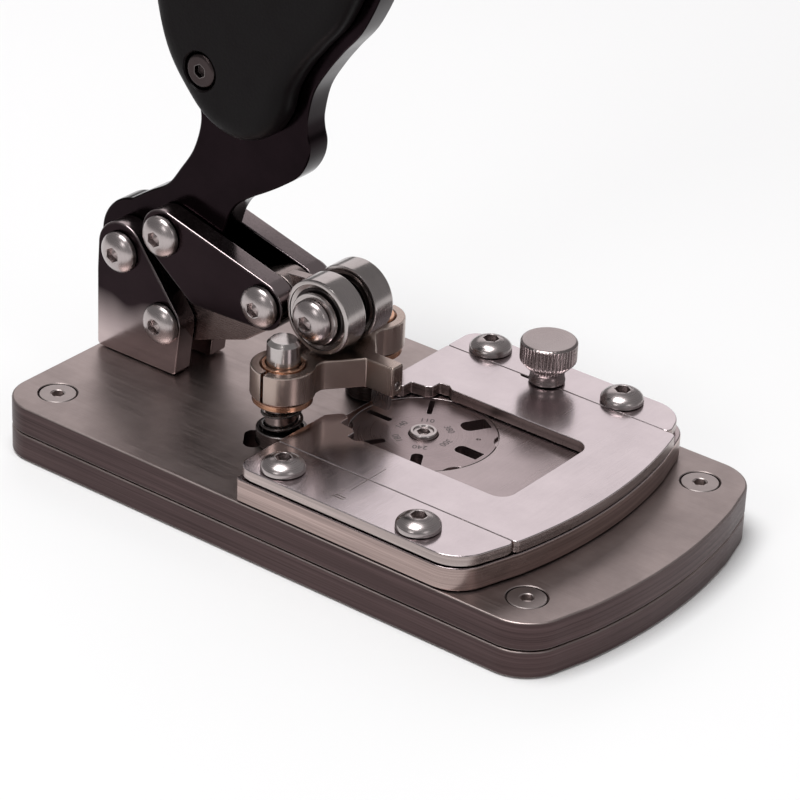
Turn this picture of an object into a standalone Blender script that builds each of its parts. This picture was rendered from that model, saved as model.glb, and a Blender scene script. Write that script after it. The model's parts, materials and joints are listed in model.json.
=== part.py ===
"""Bench toggle press with an indexed, slotted die disc and a sliding U fence.

Units are metres. +X is the operator's right, +Y the rear, +Z up. The origin is the centre of the
base's underside. Side-view points are (Y, Z) pairs, plan points are (X, Y) pairs.
"""
import math

import bmesh
import bpy
from mathutils import Matrix, Vector

MM = 0.001
GAP = 0.3 * MM                      # clearance left between neighbouring pieces

# Base, two plates
BASE_HALF_WIDTH = 38.5 * MM
BASE_REAR_Y = 68.0 * MM
BASE_FRONT_APEX_Y = -72.8 * MM
BASE_FRONT_RADIUS = 118.0 * MM
BASE_FRONT_CORNER = 9.5 * MM
BASE_REAR_CORNER = 8.5 * MM
SEAM_Z = 6.0 * MM
BASE_TOP_Z = 12.0 * MM
BASE_SCREW_X = 29.0 * MM
BASE_SCREW_Y = 59.3 * MM

# Die plate, rails, fence
DIE_TOP_Z = 17.2 * MM
RAIL_TOP_Z = 20.0 * MM
DIE_REAR_Y = 4.1 * MM
DIE_HALF_WIDTH = 38.3 * MM
DIE_FRONT_APEX_Y = -56.8 * MM
DIE_FRONT_RADIUS = 105.0 * MM
DIE_FRONT_CORNER = 8.0 * MM
FENCE_LEFT_X = -25.4 * MM
FENCE_RIGHT_X = 29.2 * MM
FENCE_TRAVEL = 4.0 * MM
RIGHT_RAIL_STEP = 1.4 * MM
OPENING_HALF_WIDTH = 14.2 * MM
OPENING_FRONT_Y = -42.6 * MM
RAIL_SCREW_X = 33.4 * MM
RAIL_SCREW_Y = (-3.8 * MM, -36.7 * MM)
THUMB_SCREW_XY = (30.2 * MM, -20.4 * MM)
THUMB_SHANK = 1.5 * MM

# Index disc with six slots
DISC_XY = (0.0, -12.3 * MM)
DISC_RADIUS = 15.0 * MM
DISC_FLOOR_Z = 13.4 * MM
DISC_SIDES = 40
SLOT_WIDTHS = {30: 1.1, 90: 1.4, 150: 1.8, 210: 2.4, 270: 3.0, 330: 3.8}   # degrees: millimetres
SLOT_INNER_R = 8.2 * MM
SLOT_OUTER_R = 14.0 * MM

# Bridge and its two guide columns
COLUMN_X = 14.3 * MM
COLUMN_Y = 12.3 * MM
COLUMN_RADIUS = 3.4 * MM
COLUMN_TOP_Z = 35.3 * MM
BOSS_RADIUS = 6.6 * MM
BRIDGE_LOW_Z = 23.4 * MM
BRIDGE_TOP_Z = 29.8 * MM
BUSH_FLANGE_Z = 21.8 * MM
CUP_TOP_Z = 16.4 * MM
NOSE_HALF_WIDTH = 1.7 * MM
NOSE_FRONT_Y = -5.4 * MM
NOSE_REAR_Y = 1.4 * MM

# Linkage, side view (Y, Z)
HANDLE_PIVOT = (61.0 * MM, 36.0 * MM)
ARM_PIVOT = (49.6 * MM, 23.4 * MM)
LINK_TOP = (49.8 * MM, 43.2 * MM)
LINK_LOW = (23.5 * MM, 36.3 * MM)
ROLLER_AXIS = (9.8 * MM, 38.1 * MM)
CORE_HALF = 3.0 * MM                # half thickness of handle plate and arm
CHEEK_INNER = 3.3 * MM              # inner and outer faces of the outer plates
CHEEK_OUTER = 8.0 * MM
PIN_RADIUS = 2.5 * MM
HOLE_RADIUS = PIN_RADIUS + GAP
OPEN_PIVOT_HOLE = PIN_RADIUS + 0.7 * MM    # link hole that takes up the toggle's small drift
ROLLER_RADIUS = 8.0 * MM
ROLLER_INNER_X = 1.5 * MM
ROLLER_OUTER_X = 7.3 * MM
ROLLER_COLLAR_X = 8.4 * MM          # outer face of the inner ring's collar, under the bolt head
ARM_NOSE_HALF = 1.2 * MM
HEAD_RADIUS = 4.45 * MM             # button heads
HEAD_HEIGHT = 2.75 * MM

# Grip
GRIP_SCREWS = ((39.9 * MM, 82.3 * MM), (27.0 * MM, 124.0 * MM))
SCALE_THICKNESS = 5.5 * MM

FINISHES = {                        # colour, metallic, roughness
    "base_steel": ((0.36, 0.32, 0.31), 1.0, 0.42),
    "bright_steel": ((0.62, 0.58, 0.58), 1.0, 0.22),
    "disc_steel": ((0.33, 0.31, 0.31), 1.0, 0.38),
    "dark_steel": ((0.10, 0.09, 0.09), 1.0, 0.25),
    "bridge_steel": ((0.45, 0.40, 0.37), 1.0, 0.35),
    "screw_steel": ((0.55, 0.53, 0.53), 1.0, 0.20),
    "bronze": ((0.55, 0.33, 0.22), 1.0, 0.30),
    "spring_steel": ((0.20, 0.19, 0.19), 1.0, 0.35),
    "handle_black": ((0.02, 0.02, 0.02), 0.4, 0.45),
    "grip_black": ((0.015, 0.015, 0.015), 0.0, 0.6),
}


def finish(slot):
    """Principled material of the named slot, made once."""
    if slot in bpy.data.materials:
        return bpy.data.materials[slot]
    colour, metallic, roughness = FINISHES[slot]
    material = bpy.data.materials.new(slot)
    material.use_nodes = True
    shader = material.node_tree.nodes["Principled BSDF"]
    shader.inputs["Base Color"].default_value = (*colour, 1.0)
    shader.inputs["Metallic"].default_value = metallic
    shader.inputs["Roughness"].default_value = roughness
    return material


def add_object(name, bm, slot, origin=(0.0, 0.0, 0.0)):
    """Object from a bmesh in world coordinates, with its origin at the given point."""
    bmesh.ops.recalc_face_normals(bm, faces=bm.faces[:])
    bmesh.ops.translate(bm, verts=bm.verts[:], vec=-Vector(origin))
    mesh = bpy.data.meshes.new(name)
    bm.to_mesh(mesh)
    bm.free()
    mesh.shade_smooth()
    mesh.set_sharp_from_angle(angle=math.radians(30))
    obj = bpy.data.objects.new(name, mesh)
    obj.location = origin
    bpy.context.scene.collection.objects.link(obj)
    if slot:
        mesh.materials.append(finish(slot))
    return obj


# ---------------------------------------------------------------- outlines

def arc(centre, radius, start, end, steps):
    """Points on an arc, angles in degrees, both ends included."""
    return [(centre[0] + radius * math.cos(math.radians(start + (end - start) * i / steps)),
             centre[1] + radius * math.sin(math.radians(start + (end - start) * i / steps)))
            for i in range(steps + 1)]


def rounded(corners, degrees_per_step=28.0):
    """Closed outline from (x, y, radius) corners, each corner turned into a tangent arc."""
    outline = []
    count = len(corners)
    for i in range(count):
        here = Vector(corners[i][:2])
        radius = corners[i][2]
        to_prev = (Vector(corners[i - 1][:2]) - here).normalized()
        to_next = (Vector(corners[(i + 1) % count][:2]) - here).normalized()
        opening = to_prev.angle(to_next)
        if radius <= 0.0 or opening > math.radians(178):
            outline.append(tuple(here))
            continue
        bisector = (to_prev + to_next).normalized()
        centre = here + bisector * (radius / math.sin(opening / 2))
        run = radius / math.tan(opening / 2)
        first = here + to_prev * run - centre
        last = here + to_next * run - centre
        sweep = first.angle_signed(last)
        steps = max(2, round(abs(math.degrees(sweep)) / degrees_per_step))
        for k in range(steps + 1):
            turn = Matrix.Rotation(-sweep * k / steps, 2)
            outline.append(tuple(centre + turn @ first))
    return outline


def hull_of_circles(circles, steps=36):
    """Convex outline round circles given as (centre, radius)."""
    points = sorted({p for centre, radius in circles
                     for p in arc(centre, radius, 0, 360 - 360 / steps, steps - 1)})

    def half(sequence):
        chain = []
        for p in sequence:
            while len(chain) > 1 and turn_of(chain[-2], chain[-1], p) <= 1e-12:
                chain.pop()
            chain.append(p)
        return chain[:-1]

    return half(points) + half(points[::-1])


def turn_of(a, b, c):
    """Twice the signed area of triangle abc."""
    return (b[0] - a[0]) * (c[1] - a[1]) - (b[1] - a[1]) * (c[0] - a[0])


def front_arc(apex_y, radius, half_width, steps):
    """Plan points along a bowed front edge, from left to right."""
    points = []
    for i in range(steps + 1):
        x = half_width * (2 * i / steps - 1)
        points.append((x, apex_y + radius - math.sqrt(radius * radius - x * x)))
    return points


def inset(outline, distance):
    """Outline moved inwards by a distance along mitred corners."""
    area = sum(a[0] * b[1] - b[0] * a[1] for a, b in zip(outline, outline[1:] + outline[:1]))
    side = 1.0 if area > 0 else -1.0
    moved = []
    for i, here in enumerate(outline):
        back = (Vector(here) - Vector(outline[i - 1])).normalized()
        ahead = (Vector(outline[(i + 1) % len(outline)]) - Vector(here)).normalized()
        normal_a = Vector((-back.y, back.x)) * side
        normal_b = Vector((-ahead.y, ahead.x)) * side
        mitre = (normal_a + normal_b).normalized()
        reach = distance / max(mitre.dot(normal_a), 0.4)
        moved.append((here[0] + mitre.x * reach, here[1] + mitre.y * reach))
    return moved


# ---------------------------------------------------------------- solids

def to_world(axis, u, v, w):
    """Point with outline coordinates (u, v) at height w along an axis."""
    if axis == "Z":
        return (u, v, w)
    return (w, u, v)                # axis X, with the outline in (Y, Z)


def loft(rings):
    """Closed bmesh through rings of equal point count, with flat ends."""
    bm = bmesh.new()
    rows = [[bm.verts.new(p) for p in ring] for ring in rings]
    count = len(rows[0])
    for low, high in zip(rows, rows[1:]):
        for i in range(count):
            j = (i + 1) % count
            bm.faces.new((low[i], low[j], high[j], high[i]))
    bm.faces.new(rows[0][::-1])
    bm.faces.new(rows[-1])
    return bm


def prism(name, outline, low, high, slot, axis="Z", chamfer=0.0, origin=(0.0, 0.0, 0.0)):
    """Plate: an outline extruded between two heights, with chamfered edges."""
    if chamfer > 0.0:
        small = inset(outline, chamfer)
        levels = [(small, low), (outline, low + chamfer), (outline, high - chamfer), (small, high)]
    else:
        levels = [(outline, low), (outline, high)]
    rings = [[to_world(axis, u, v, w) for u, v in shape] for shape, w in levels]
    return add_object(name, loft(rings), slot, origin)


def turned(name, profile, place, slot, axis="Z", segments=20, origin=None):
    """Solid of revolution. The profile is (radius, height) pairs along the axis from place.

    A profile that starts and ends on the axis is solid; any other is closed into a ring.
    """
    bm = bmesh.new()
    solid = profile[0][0] == 0.0

    def point(radius, height, angle):
        c = radius * math.cos(angle)
        s = radius * math.sin(angle)
        if axis == "Z":
            return (place[0] + c, place[1] + s, place[2] + height)
        if axis == "X":
            return (place[0] + height, place[1] + c, place[2] + s)
        return (place[0] + s, place[1] + height, place[2] + c)

    columns = []
    for i in range(segments):
        angle = 2 * math.pi * (i + 0.5) / segments
        columns.append([bm.verts.new(point(r, h, angle)) for r, h in profile if r > 0.0])
    inner = len(columns[0])
    for i in range(segments):
        a = columns[i]
        b = columns[(i + 1) % segments]
        for k in range(inner - 1):
            bm.faces.new((a[k], b[k], b[k + 1], a[k + 1]))
        if not solid:
            bm.faces.new((a[inner - 1], b[inner - 1], b[0], a[0]))
    if solid:
        bm.faces.new([c[0] for c in columns][::-1])
        bm.faces.new([c[-1] for c in columns])
    return add_object(name, bm, slot, place if origin is None else origin)


def combine(target, other, operation):
    """Apply a Boolean of other to target, then remove other."""
    modifier = target.modifiers.new("boolean", "BOOLEAN")
    modifier.operation = operation
    modifier.solver = "EXACT"
    modifier.object = other
    bpy.context.view_layer.update()
    evaluated = target.evaluated_get(bpy.context.evaluated_depsgraph_get())
    mesh = bpy.data.meshes.new_from_object(evaluated)
    target.modifiers.remove(modifier)
    mesh.set_sharp_from_angle(angle=math.radians(30))
    target.data = mesh
    bpy.data.objects.remove(other)
    return target


def cut(target, *cutters):
    """Take each cutter away from the target."""
    for cutter in cutters:
        combine(target, cutter, "DIFFERENCE")
    return target


def drill(place, profile, axis="Z", segments=20):
    """Cutter for a round hole whose profile is (radius, height) pairs from place."""
    closed = [(0.0, profile[0][1])] + list(profile) + [(0.0, profile[-1][1])]
    return turned("cutter", closed, place, None, axis, segments)


def hole_along(axis, at, radius, low, high, segments=20):
    """Cutter for a plain round hole along X at side-view point at, or along Z at plan point at."""
    place = (0.0, at[0], at[1]) if axis == "X" else (at[0], at[1], 0.0)
    return drill(place, [(radius, low), (radius, high)], axis, segments)


def hexagon(across_flats):
    """Hexagon outline centred on the origin."""
    return arc((0.0, 0.0), across_flats / math.sqrt(3), 0, 300, 5)


# ---------------------------------------------------------------- fasteners

def button_profile(length, radius=PIN_RADIUS):
    """M5 button-head screw along +h, with its seat at h = 0 and its shank at h < 0."""
    dome = []
    for k in range(3):
        angle = math.radians(14 + 28 * k)
        dome.append((HEAD_RADIUS * math.cos(angle), HEAD_HEIGHT * (0.12 + 0.88 * math.sin(angle))))
    return ([(0.0, -length), (radius, -length), (radius, 0.0), (HEAD_RADIUS, 0.0)] + dome
            + [(0.0, HEAD_HEIGHT)])


def button_screw(name, place, axis, direction, length, segments=12):
    """Button-head socket screw. direction is +1 or -1 along the axis, out of the head."""
    profile = [(r, h * direction) for r, h in button_profile(length)]
    screw = turned(name, profile, place, "screw_steel", axis, segments)
    socket = []
    for height in (0.9 * MM, HEAD_HEIGHT + 1.0 * MM):
        ring = []
        for u, v in hexagon(3.0 * MM):
            if axis == "X":
                ring.append((place[0] + height * direction, place[1] + u, place[2] + v))
            else:
                ring.append((place[0] + u, place[1] + v, place[2] + height * direction))
        socket.append(ring)
    return cut(screw, add_object("cutter", loft(socket), None, place))


def flush_screw(name, place, direction, head_radius, head_depth, shank_radius, length, flats):
    """Countersunk socket screw along Z. direction +1 has its flat head facing up."""
    profile = [(0.0, 0.0), (head_radius, 0.0), (head_radius, -0.3 * MM),
               (shank_radius, -head_depth), (shank_radius, -length), (0.0, -length)]
    screw = turned(name, [(r, h * direction) for r, h in profile], place, "screw_steel", "Z", 12)
    socket = [[(place[0] + u, place[1] + v, place[2] + h * direction) for u, v in hexagon(flats)]
              for h in (-1.4 * MM, 1.0 * MM)]
    return cut(screw, add_object("cutter", loft(socket), None, place))


def countersink(at, surface_z, direction, head_radius, head_depth, shank_radius, reach):
    """Cutter for a flush screw's seat and hole, with clearance all round."""
    profile = [(head_radius + GAP, 1.0 * MM), (head_radius + GAP, -0.3 * MM - GAP),
               (shank_radius + GAP, -head_depth - GAP), (shank_radius + GAP, -reach)]
    return drill((at[0], at[1], surface_z), [(r, h * direction) for r, h in profile], "Z", 12)


# ---------------------------------------------------------------- base

BASE_SCREW = dict(head_radius=3.8 * MM, head_depth=2.1 * MM, shank_radius=2.0 * MM)
FOOT_SCREW = dict(head_radius=2.9 * MM, head_depth=1.7 * MM, shank_radius=1.5 * MM)
FOOT_SCREW_Y = (51.5 * MM, 62.5 * MM)
FOOT_SCREW_X = (CHEEK_INNER + CHEEK_OUTER) / 2
FOOT_SCREW_TOP_Z = 19.0 * MM
RAIL_SCREW_TIP_Z = 7.5 * MM
COLUMN_FOOT_Z = 6.6 * MM


def bowed_plate_outline(half_width, rear_y, rear_corner, apex_y, radius, front_corner):
    """Plan outline of a plate with a straight rear and a bowed front edge."""
    front = front_arc(apex_y, radius, half_width, 6)
    corners = [(half_width, rear_y, rear_corner), (-half_width, rear_y, rear_corner)]
    corners.append((*front[0], front_corner))
    corners += [(x, y, 0.0) for x, y in front_arc(apex_y, radius, half_width * 0.62, 6)]
    corners.append((*front[-1], front_corner))
    return rounded(corners)


def foot_screw_places():
    """Plan points of the four screws that hold the uprights from below."""
    return [(side * FOOT_SCREW_X, y) for side in (-1, 1) for y in FOOT_SCREW_Y]


def build_base():
    outline = bowed_plate_outline(BASE_HALF_WIDTH, BASE_REAR_Y, BASE_REAR_CORNER,
                                  BASE_FRONT_APEX_Y, BASE_FRONT_RADIUS, BASE_FRONT_CORNER)
    lower = prism("base_lower_plate", outline, 0.0, SEAM_Z - GAP, "base_steel", chamfer=0.4 * MM)
    upper = prism("base_upper_plate", outline, SEAM_Z, BASE_TOP_Z, "base_steel", chamfer=0.4 * MM)
    for x in (-BASE_SCREW_X, BASE_SCREW_X):
        for y in (BASE_SCREW_Y, -BASE_SCREW_Y):
            cut(upper, countersink((x, y), BASE_TOP_Z, 1, reach=9.0 * MM, **BASE_SCREW))
            cut(lower, hole_along("Z", (x, y), BASE_SCREW["shank_radius"] + GAP, 1.5 * MM,
                                  7.0 * MM, 12))
            name = "base_screw_%s_%s" % ("rear" if y > 0 else "front", "left" if x < 0 else "right")
            flush_screw(name, (x, y, BASE_TOP_Z - 0.1 * MM), 1, length=9.6 * MM, flats=2.5 * MM,
                        **BASE_SCREW)
    for x, y in foot_screw_places():
        cut(lower, countersink((x, y), 0.0, -1, reach=7.0 * MM, **FOOT_SCREW))
        cut(upper, hole_along("Z", (x, y), FOOT_SCREW["shank_radius"] + GAP, 5.0 * MM, 13.0 * MM, 12))
    for x in (-RAIL_SCREW_X, RAIL_SCREW_X):
        for y in RAIL_SCREW_Y:
            cut(upper, hole_along("Z", (x, y), HOLE_RADIUS, RAIL_SCREW_TIP_Z - GAP, 13.0 * MM, 12))
    for x in (-COLUMN_X, COLUMN_X):
        cut(upper, hole_along("Z", (x, COLUMN_Y), COLUMN_RADIUS + GAP, COLUMN_FOOT_Z - GAP,
                              13.0 * MM, 16))
    cut(upper, hole_along("Z", DISC_XY, 1.5 * MM + GAP, 8.2 * MM, 13.0 * MM, 12))


# ---------------------------------------------------------------- die plate, disc, rails, fence

DETENT_XY = (DISC_XY[0] + 11.0 * MM * math.cos(math.radians(240)),
             DISC_XY[1] + 11.0 * MM * math.sin(math.radians(240)))
DETENT_RADIUS = 1.5 * MM
DISC_SCREW_HEAD_Z = 16.2 * MM
PUNCH_HALF_WIDTH = 0.45 * MM
PUNCH_Y = (-3.7 * MM, 0.7 * MM)
PUNCH_TIP_Z = 19.2 * MM


def slot_outline(width, inner_r, outer_r, degrees):
    """Plan outline of one radial slot with rounded ends, about the disc's centre."""
    r = width / 2
    turn = Matrix.Rotation(math.radians(degrees), 2)
    shape = arc((outer_r - r, 0.0), r, -90, 90, 4) + arc((inner_r + r, 0.0), r, 90, 270, 4)
    return [(DISC_XY[0] + p.x, DISC_XY[1] + p.y) for p in (turn @ Vector(q) for q in shape)]


def build_die_plate():
    outline = bowed_plate_outline(DIE_HALF_WIDTH, DIE_REAR_Y, 1.0 * MM, DIE_FRONT_APEX_Y,
                                  DIE_FRONT_RADIUS, DIE_FRONT_CORNER)
    plate = prism("die_plate", outline, BASE_TOP_Z + GAP, DIE_TOP_Z, "bright_steel",
                  chamfer=0.3 * MM)
    cut(plate, drill((*DISC_XY, 0.0), [(DISC_RADIUS + GAP, DISC_FLOOR_Z),
                                       (DISC_RADIUS + GAP, DIE_TOP_Z + MM)], "Z", DISC_SIDES))
    cut(plate, hole_along("Z", DISC_XY, 1.5 * MM + GAP, 11.0 * MM, 15.0 * MM, 12))
    cut(plate, hole_along("Z", DETENT_XY, DETENT_RADIUS + GAP, 11.0 * MM, 15.0 * MM, 12))
    for x in (-RAIL_SCREW_X, RAIL_SCREW_X):
        for y in RAIL_SCREW_Y:
            cut(plate, hole_along("Z", (x, y), HOLE_RADIUS, 11.0 * MM, 19.0 * MM, 12))
    cut(plate, hole_along("Z", THUMB_SCREW_XY, THUMB_SHANK + GAP, 13.2 * MM, 19.0 * MM, 12))
    drop = rounded([(-2.5 * MM, -6.0 * MM, MM), (2.5 * MM, -6.0 * MM, MM),
                    (2.5 * MM, 2.0 * MM, MM), (-2.5 * MM, 2.0 * MM, MM)])
    cut(plate, prism("cutter", drop, 11.0 * MM, 15.0 * MM, None))


def build_disc():
    centre = (*DISC_XY, 0.0)
    low = DISC_FLOOR_Z + GAP
    profile = [(0.0, low), (DISC_RADIUS, low), (DISC_RADIUS, DIE_TOP_Z - 0.2 * MM),
               (DISC_RADIUS - 0.2 * MM, DIE_TOP_Z), (0.0, DIE_TOP_Z)]
    disc = turned("index_disc", profile, centre, "disc_steel", "Z", DISC_SIDES)
    cut(disc, drill(centre, [(1.5 * MM + GAP, 13.0 * MM), (1.5 * MM + GAP, DISC_SCREW_HEAD_Z - GAP),
                             (2.8 * MM + GAP, DISC_SCREW_HEAD_Z - GAP), (2.8 * MM + GAP, 19.0 * MM)],
                    "Z", 16))
    for k in range(6):              # thumb notches in the rim
        angle = math.radians(60 * k)
        reach = DISC_RADIUS + 0.9 * MM
        at = (DISC_XY[0] + reach * math.cos(angle), DISC_XY[1] + reach * math.sin(angle))
        cut(disc, hole_along("Z", at, 1.9 * MM, 13.0 * MM, 19.0 * MM, 12))
    for degrees, width in SLOT_WIDTHS.items():
        shape = slot_outline(width * MM, SLOT_INNER_R, SLOT_OUTER_R, degrees)
        cut(disc, prism("cutter", shape, 13.0 * MM, 19.0 * MM, None))
    for k in range(6):              # dimples in the underside for the spring plunger
        angle = math.radians(60 * k)
        at = (DISC_XY[0] + 11.0 * MM * math.cos(angle), DISC_XY[1] + 11.0 * MM * math.sin(angle))
        cut(disc, drill((*at, low), [(1.3 * MM, -MM), (1.3 * MM, 0.0), (0.5 * MM, 0.6 * MM)],
                        "Z", 8))

    screw = [(0.0, 8.6 * MM), (1.5 * MM, 8.6 * MM), (1.5 * MM, DISC_SCREW_HEAD_Z),
             (2.8 * MM, DISC_SCREW_HEAD_Z), (2.8 * MM, 17.7 * MM), (2.5 * MM, 18.0 * MM),
             (0.0, 18.0 * MM)]
    bolt = turned("disc_screw", screw, centre, "screw_steel", "Z", 16)
    socket = [[(centre[0] + u, centre[1] + v, h) for u, v in hexagon(2.0 * MM)]
              for h in (16.9 * MM, 19.0 * MM)]
    cut(bolt, add_object("cutter", loft(socket), None))
    plunger = [(0.0, BASE_TOP_Z + GAP), (DETENT_RADIUS, BASE_TOP_Z + GAP),
               (DETENT_RADIUS, 12.9 * MM), (0.7 * MM, 13.4 * MM), (0.3 * MM, 13.6 * MM),
               (0.0, 13.6 * MM)]
    turned("detent_plunger", plunger, (*DETENT_XY, 0.0), "screw_steel", "Z", 12)


def bowed_front_y(x):
    """Front edge of the die plate and the fence at a distance from the middle."""
    return DIE_FRONT_APEX_Y + DIE_FRONT_RADIUS - math.sqrt(DIE_FRONT_RADIUS ** 2 - x * x)


def build_rails():
    """Two rails beside the fence. The right one is narrower and ends a little behind its front."""
    outer = DIE_HALF_WIDTH
    rear = DIE_REAR_Y
    for side, label, inner, step in ((-1, "left", -FENCE_LEFT_X + GAP, 0.0),
                                     (1, "right", FENCE_RIGHT_X + GAP, RIGHT_RAIL_STEP)):
        corners = [(side * inner, rear, 0.6 * MM), (side * outer, rear, 3.5 * MM),
                   (side * outer, bowed_front_y(outer) + step, 8.0 * MM),
                   (side * (inner + 2.0 * MM), bowed_front_y(inner + 2.0 * MM) + step, 0.0),
                   (side * inner, bowed_front_y(inner) + step, 0.6 * MM)]
        outline = rounded(corners)
        waist = inset(outline, 0.5 * MM)
        levels = [(waist, DIE_TOP_Z + GAP), (waist, 18.0 * MM), (outline, 18.1 * MM),
                  (outline, RAIL_TOP_Z - 0.2 * MM), (inset(outline, 0.2 * MM), RAIL_TOP_Z)]
        rings = [[(x, y, h) for x, y in shape] for shape, h in levels]
        rail = add_object(label + "_rail", loft(rings), "bright_steel")
        for y in RAIL_SCREW_Y:
            place = (side * RAIL_SCREW_X, y, 0.0)
            cut(rail, hole_along("Z", place, HOLE_RADIUS, 17.0 * MM, 21.0 * MM, 12))
            where = "rear" if y > -20.0 * MM else "front"
            button_screw("rail_screw_%s_%s" % (label, where), (place[0], y, RAIL_TOP_Z + GAP),
                         "Z", 1, RAIL_TOP_Z + GAP - RAIL_SCREW_TIP_Z)
        if side > 0:
            cut(rail, hole_along("Z", THUMB_SCREW_XY, THUMB_SHANK + GAP, 17.0 * MM, 21.0 * MM, 12))


def build_fence():
    """U-shaped stop plate between the rails, open to the rear, with stepped teeth by the punch."""
    rear = DIE_REAR_Y
    teeth = [(8.2, 1.9), (8.3, 0.7), (9.0, -0.2), (11.4, -0.3), (11.8, -3.6), (12.7, -4.8),
             (14.9, -4.9), (15.2, -7.0)]
    right = [(FENCE_RIGHT_X, rear, 0.6 * MM), (11.0 * MM, rear, 0.8 * MM)]
    right += [(x * MM, y * MM, 0.3 * MM) for x, y in teeth]
    right += [(OPENING_HALF_WIDTH, -8.4 * MM, 0.5 * MM),
              (OPENING_HALF_WIDTH, OPENING_FRONT_Y, 3.2 * MM)]
    left = [(-x, y, r) for x, y, r in right[:0:-1]] + [(FENCE_LEFT_X, rear, 0.6 * MM)]
    corners = right + left
    for i in range(11):
        x = FENCE_LEFT_X + (FENCE_RIGHT_X - FENCE_LEFT_X) * i / 10
        corners.append((x, bowed_front_y(x), 1.2 * MM if i in (0, 10) else 0.0))
    fence = prism("sliding_fence", rounded(corners, 40.0), DIE_TOP_Z + GAP, RAIL_TOP_Z,
                  "bright_steel", chamfer=0.2 * MM)
    reach = THUMB_SHANK + GAP
    low_x = THUMB_SCREW_XY[0] - reach
    high_x = low_x + 6.0 * MM
    low_y = THUMB_SCREW_XY[1] - reach
    high_y = THUMB_SCREW_XY[1] + FENCE_TRAVEL + reach
    relief = rounded([(low_x, low_y, MM), (high_x, low_y, 0.0), (high_x, high_y, 0.0),
                      (low_x, high_y, MM)])
    cut(fence, prism("cutter", relief, 16.0 * MM, 22.0 * MM, None))


def build_thumb_screw():
    """Knurled clamp screw: shank, shoulder, taper, ridged rim and dished top in one loft."""
    ridges = 18
    stations = [(1.5, 13.5, 0.0), (1.5, 20.3, 0.0), (3.5, 20.3, 0.0), (3.5, 23.0, 0.0),
                (5.85, 25.3, 0.3), (5.85, 29.1, 0.3), (5.4, 29.5, 0.0), (1.2, 29.3, 0.0)]
    rings = []
    for radius, height, ridge in stations:
        ring = []
        for i in range(ridges * 2):
            r = (radius - (ridge if i % 2 else 0.0)) * MM
            angle = math.pi * i / ridges
            ring.append((THUMB_SCREW_XY[0] + r * math.cos(angle),
                         THUMB_SCREW_XY[1] + r * math.sin(angle), height * MM))
        rings.append(ring)
    add_object("thumb_screw", loft(rings), "screw_steel", (*THUMB_SCREW_XY, RAIL_TOP_Z))


# ---------------------------------------------------------------- columns, springs, bridge

def coil(name, place, mean_radius, wire_radius, low, high, turns, slot):
    """Compression spring with closed end turns."""
    steps = round(turns * 10)
    sides = 5
    rings = []
    for i in range(steps + 1):
        t = i / steps
        angle = 2 * math.pi * turns * t
        rise = min(max((t * turns - 0.7) / (turns - 1.4), 0.0), 1.0)
        wind = wire_radius * 1.2 * min(t * turns, 0.7) - wire_radius * 1.2 * max(0.0, t * turns
                                                                                 - turns + 0.7)
        height = low + wire_radius + wind + rise * (high - low - 2 * wire_radius)
        centre = Vector((math.cos(angle), math.sin(angle), 0.0))
        ring = []
        for k in range(sides):
            a = 2 * math.pi * k / sides
            out = mean_radius + wire_radius * math.cos(a)
            ring.append((place[0] + centre.x * out, place[1] + centre.y * out,
                         height + wire_radius * math.sin(a)))
        rings.append(ring)
    return add_object(name, loft(rings), slot, (place[0], place[1], low))


def build_guides():
    for side, label in ((-1, "left"), (1, "right")):
        at = (side * COLUMN_X, COLUMN_Y, 0.0)
        top = COLUMN_TOP_Z
        r = COLUMN_RADIUS
        turned(label + "_guide_column", [(0.0, COLUMN_FOOT_Z), (r - 0.5 * MM, COLUMN_FOOT_Z),
               (r, COLUMN_FOOT_Z + 0.5 * MM), (r, top - 0.9 * MM), (r - 0.9 * MM, top), (0.0, top)],
               at, "screw_steel", "Z", 20)
        low = BASE_TOP_Z + GAP
        turned(label + "_spring_cup", [(r + GAP, low), (5.2 * MM, low), (5.2 * MM, CUP_TOP_Z - GAP),
               (4.9 * MM, CUP_TOP_Z), (4.6 * MM, CUP_TOP_Z), (4.6 * MM, low + MM),
               (r + GAP, low + MM)], at, "screw_steel", "Z", 20)
        coil(label + "_return_spring", at, 3.97 * MM, 0.33 * MM, low + MM + GAP,
             BUSH_FLANGE_Z - GAP, 4.0, "spring_steel")
        turned(label + "_guide_bush", [(r + GAP, BUSH_FLANGE_Z), (6.1 * MM, BUSH_FLANGE_Z),
               (6.1 * MM, BRIDGE_LOW_Z - GAP), (4.4 * MM, BRIDGE_LOW_Z - GAP),
               (4.4 * MM, BRIDGE_TOP_Z), (4.1 * MM, BRIDGE_TOP_Z + 0.3 * MM),
               (r + GAP, BRIDGE_TOP_Z + 0.3 * MM)], at, "bronze", "Z", 20)


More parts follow.
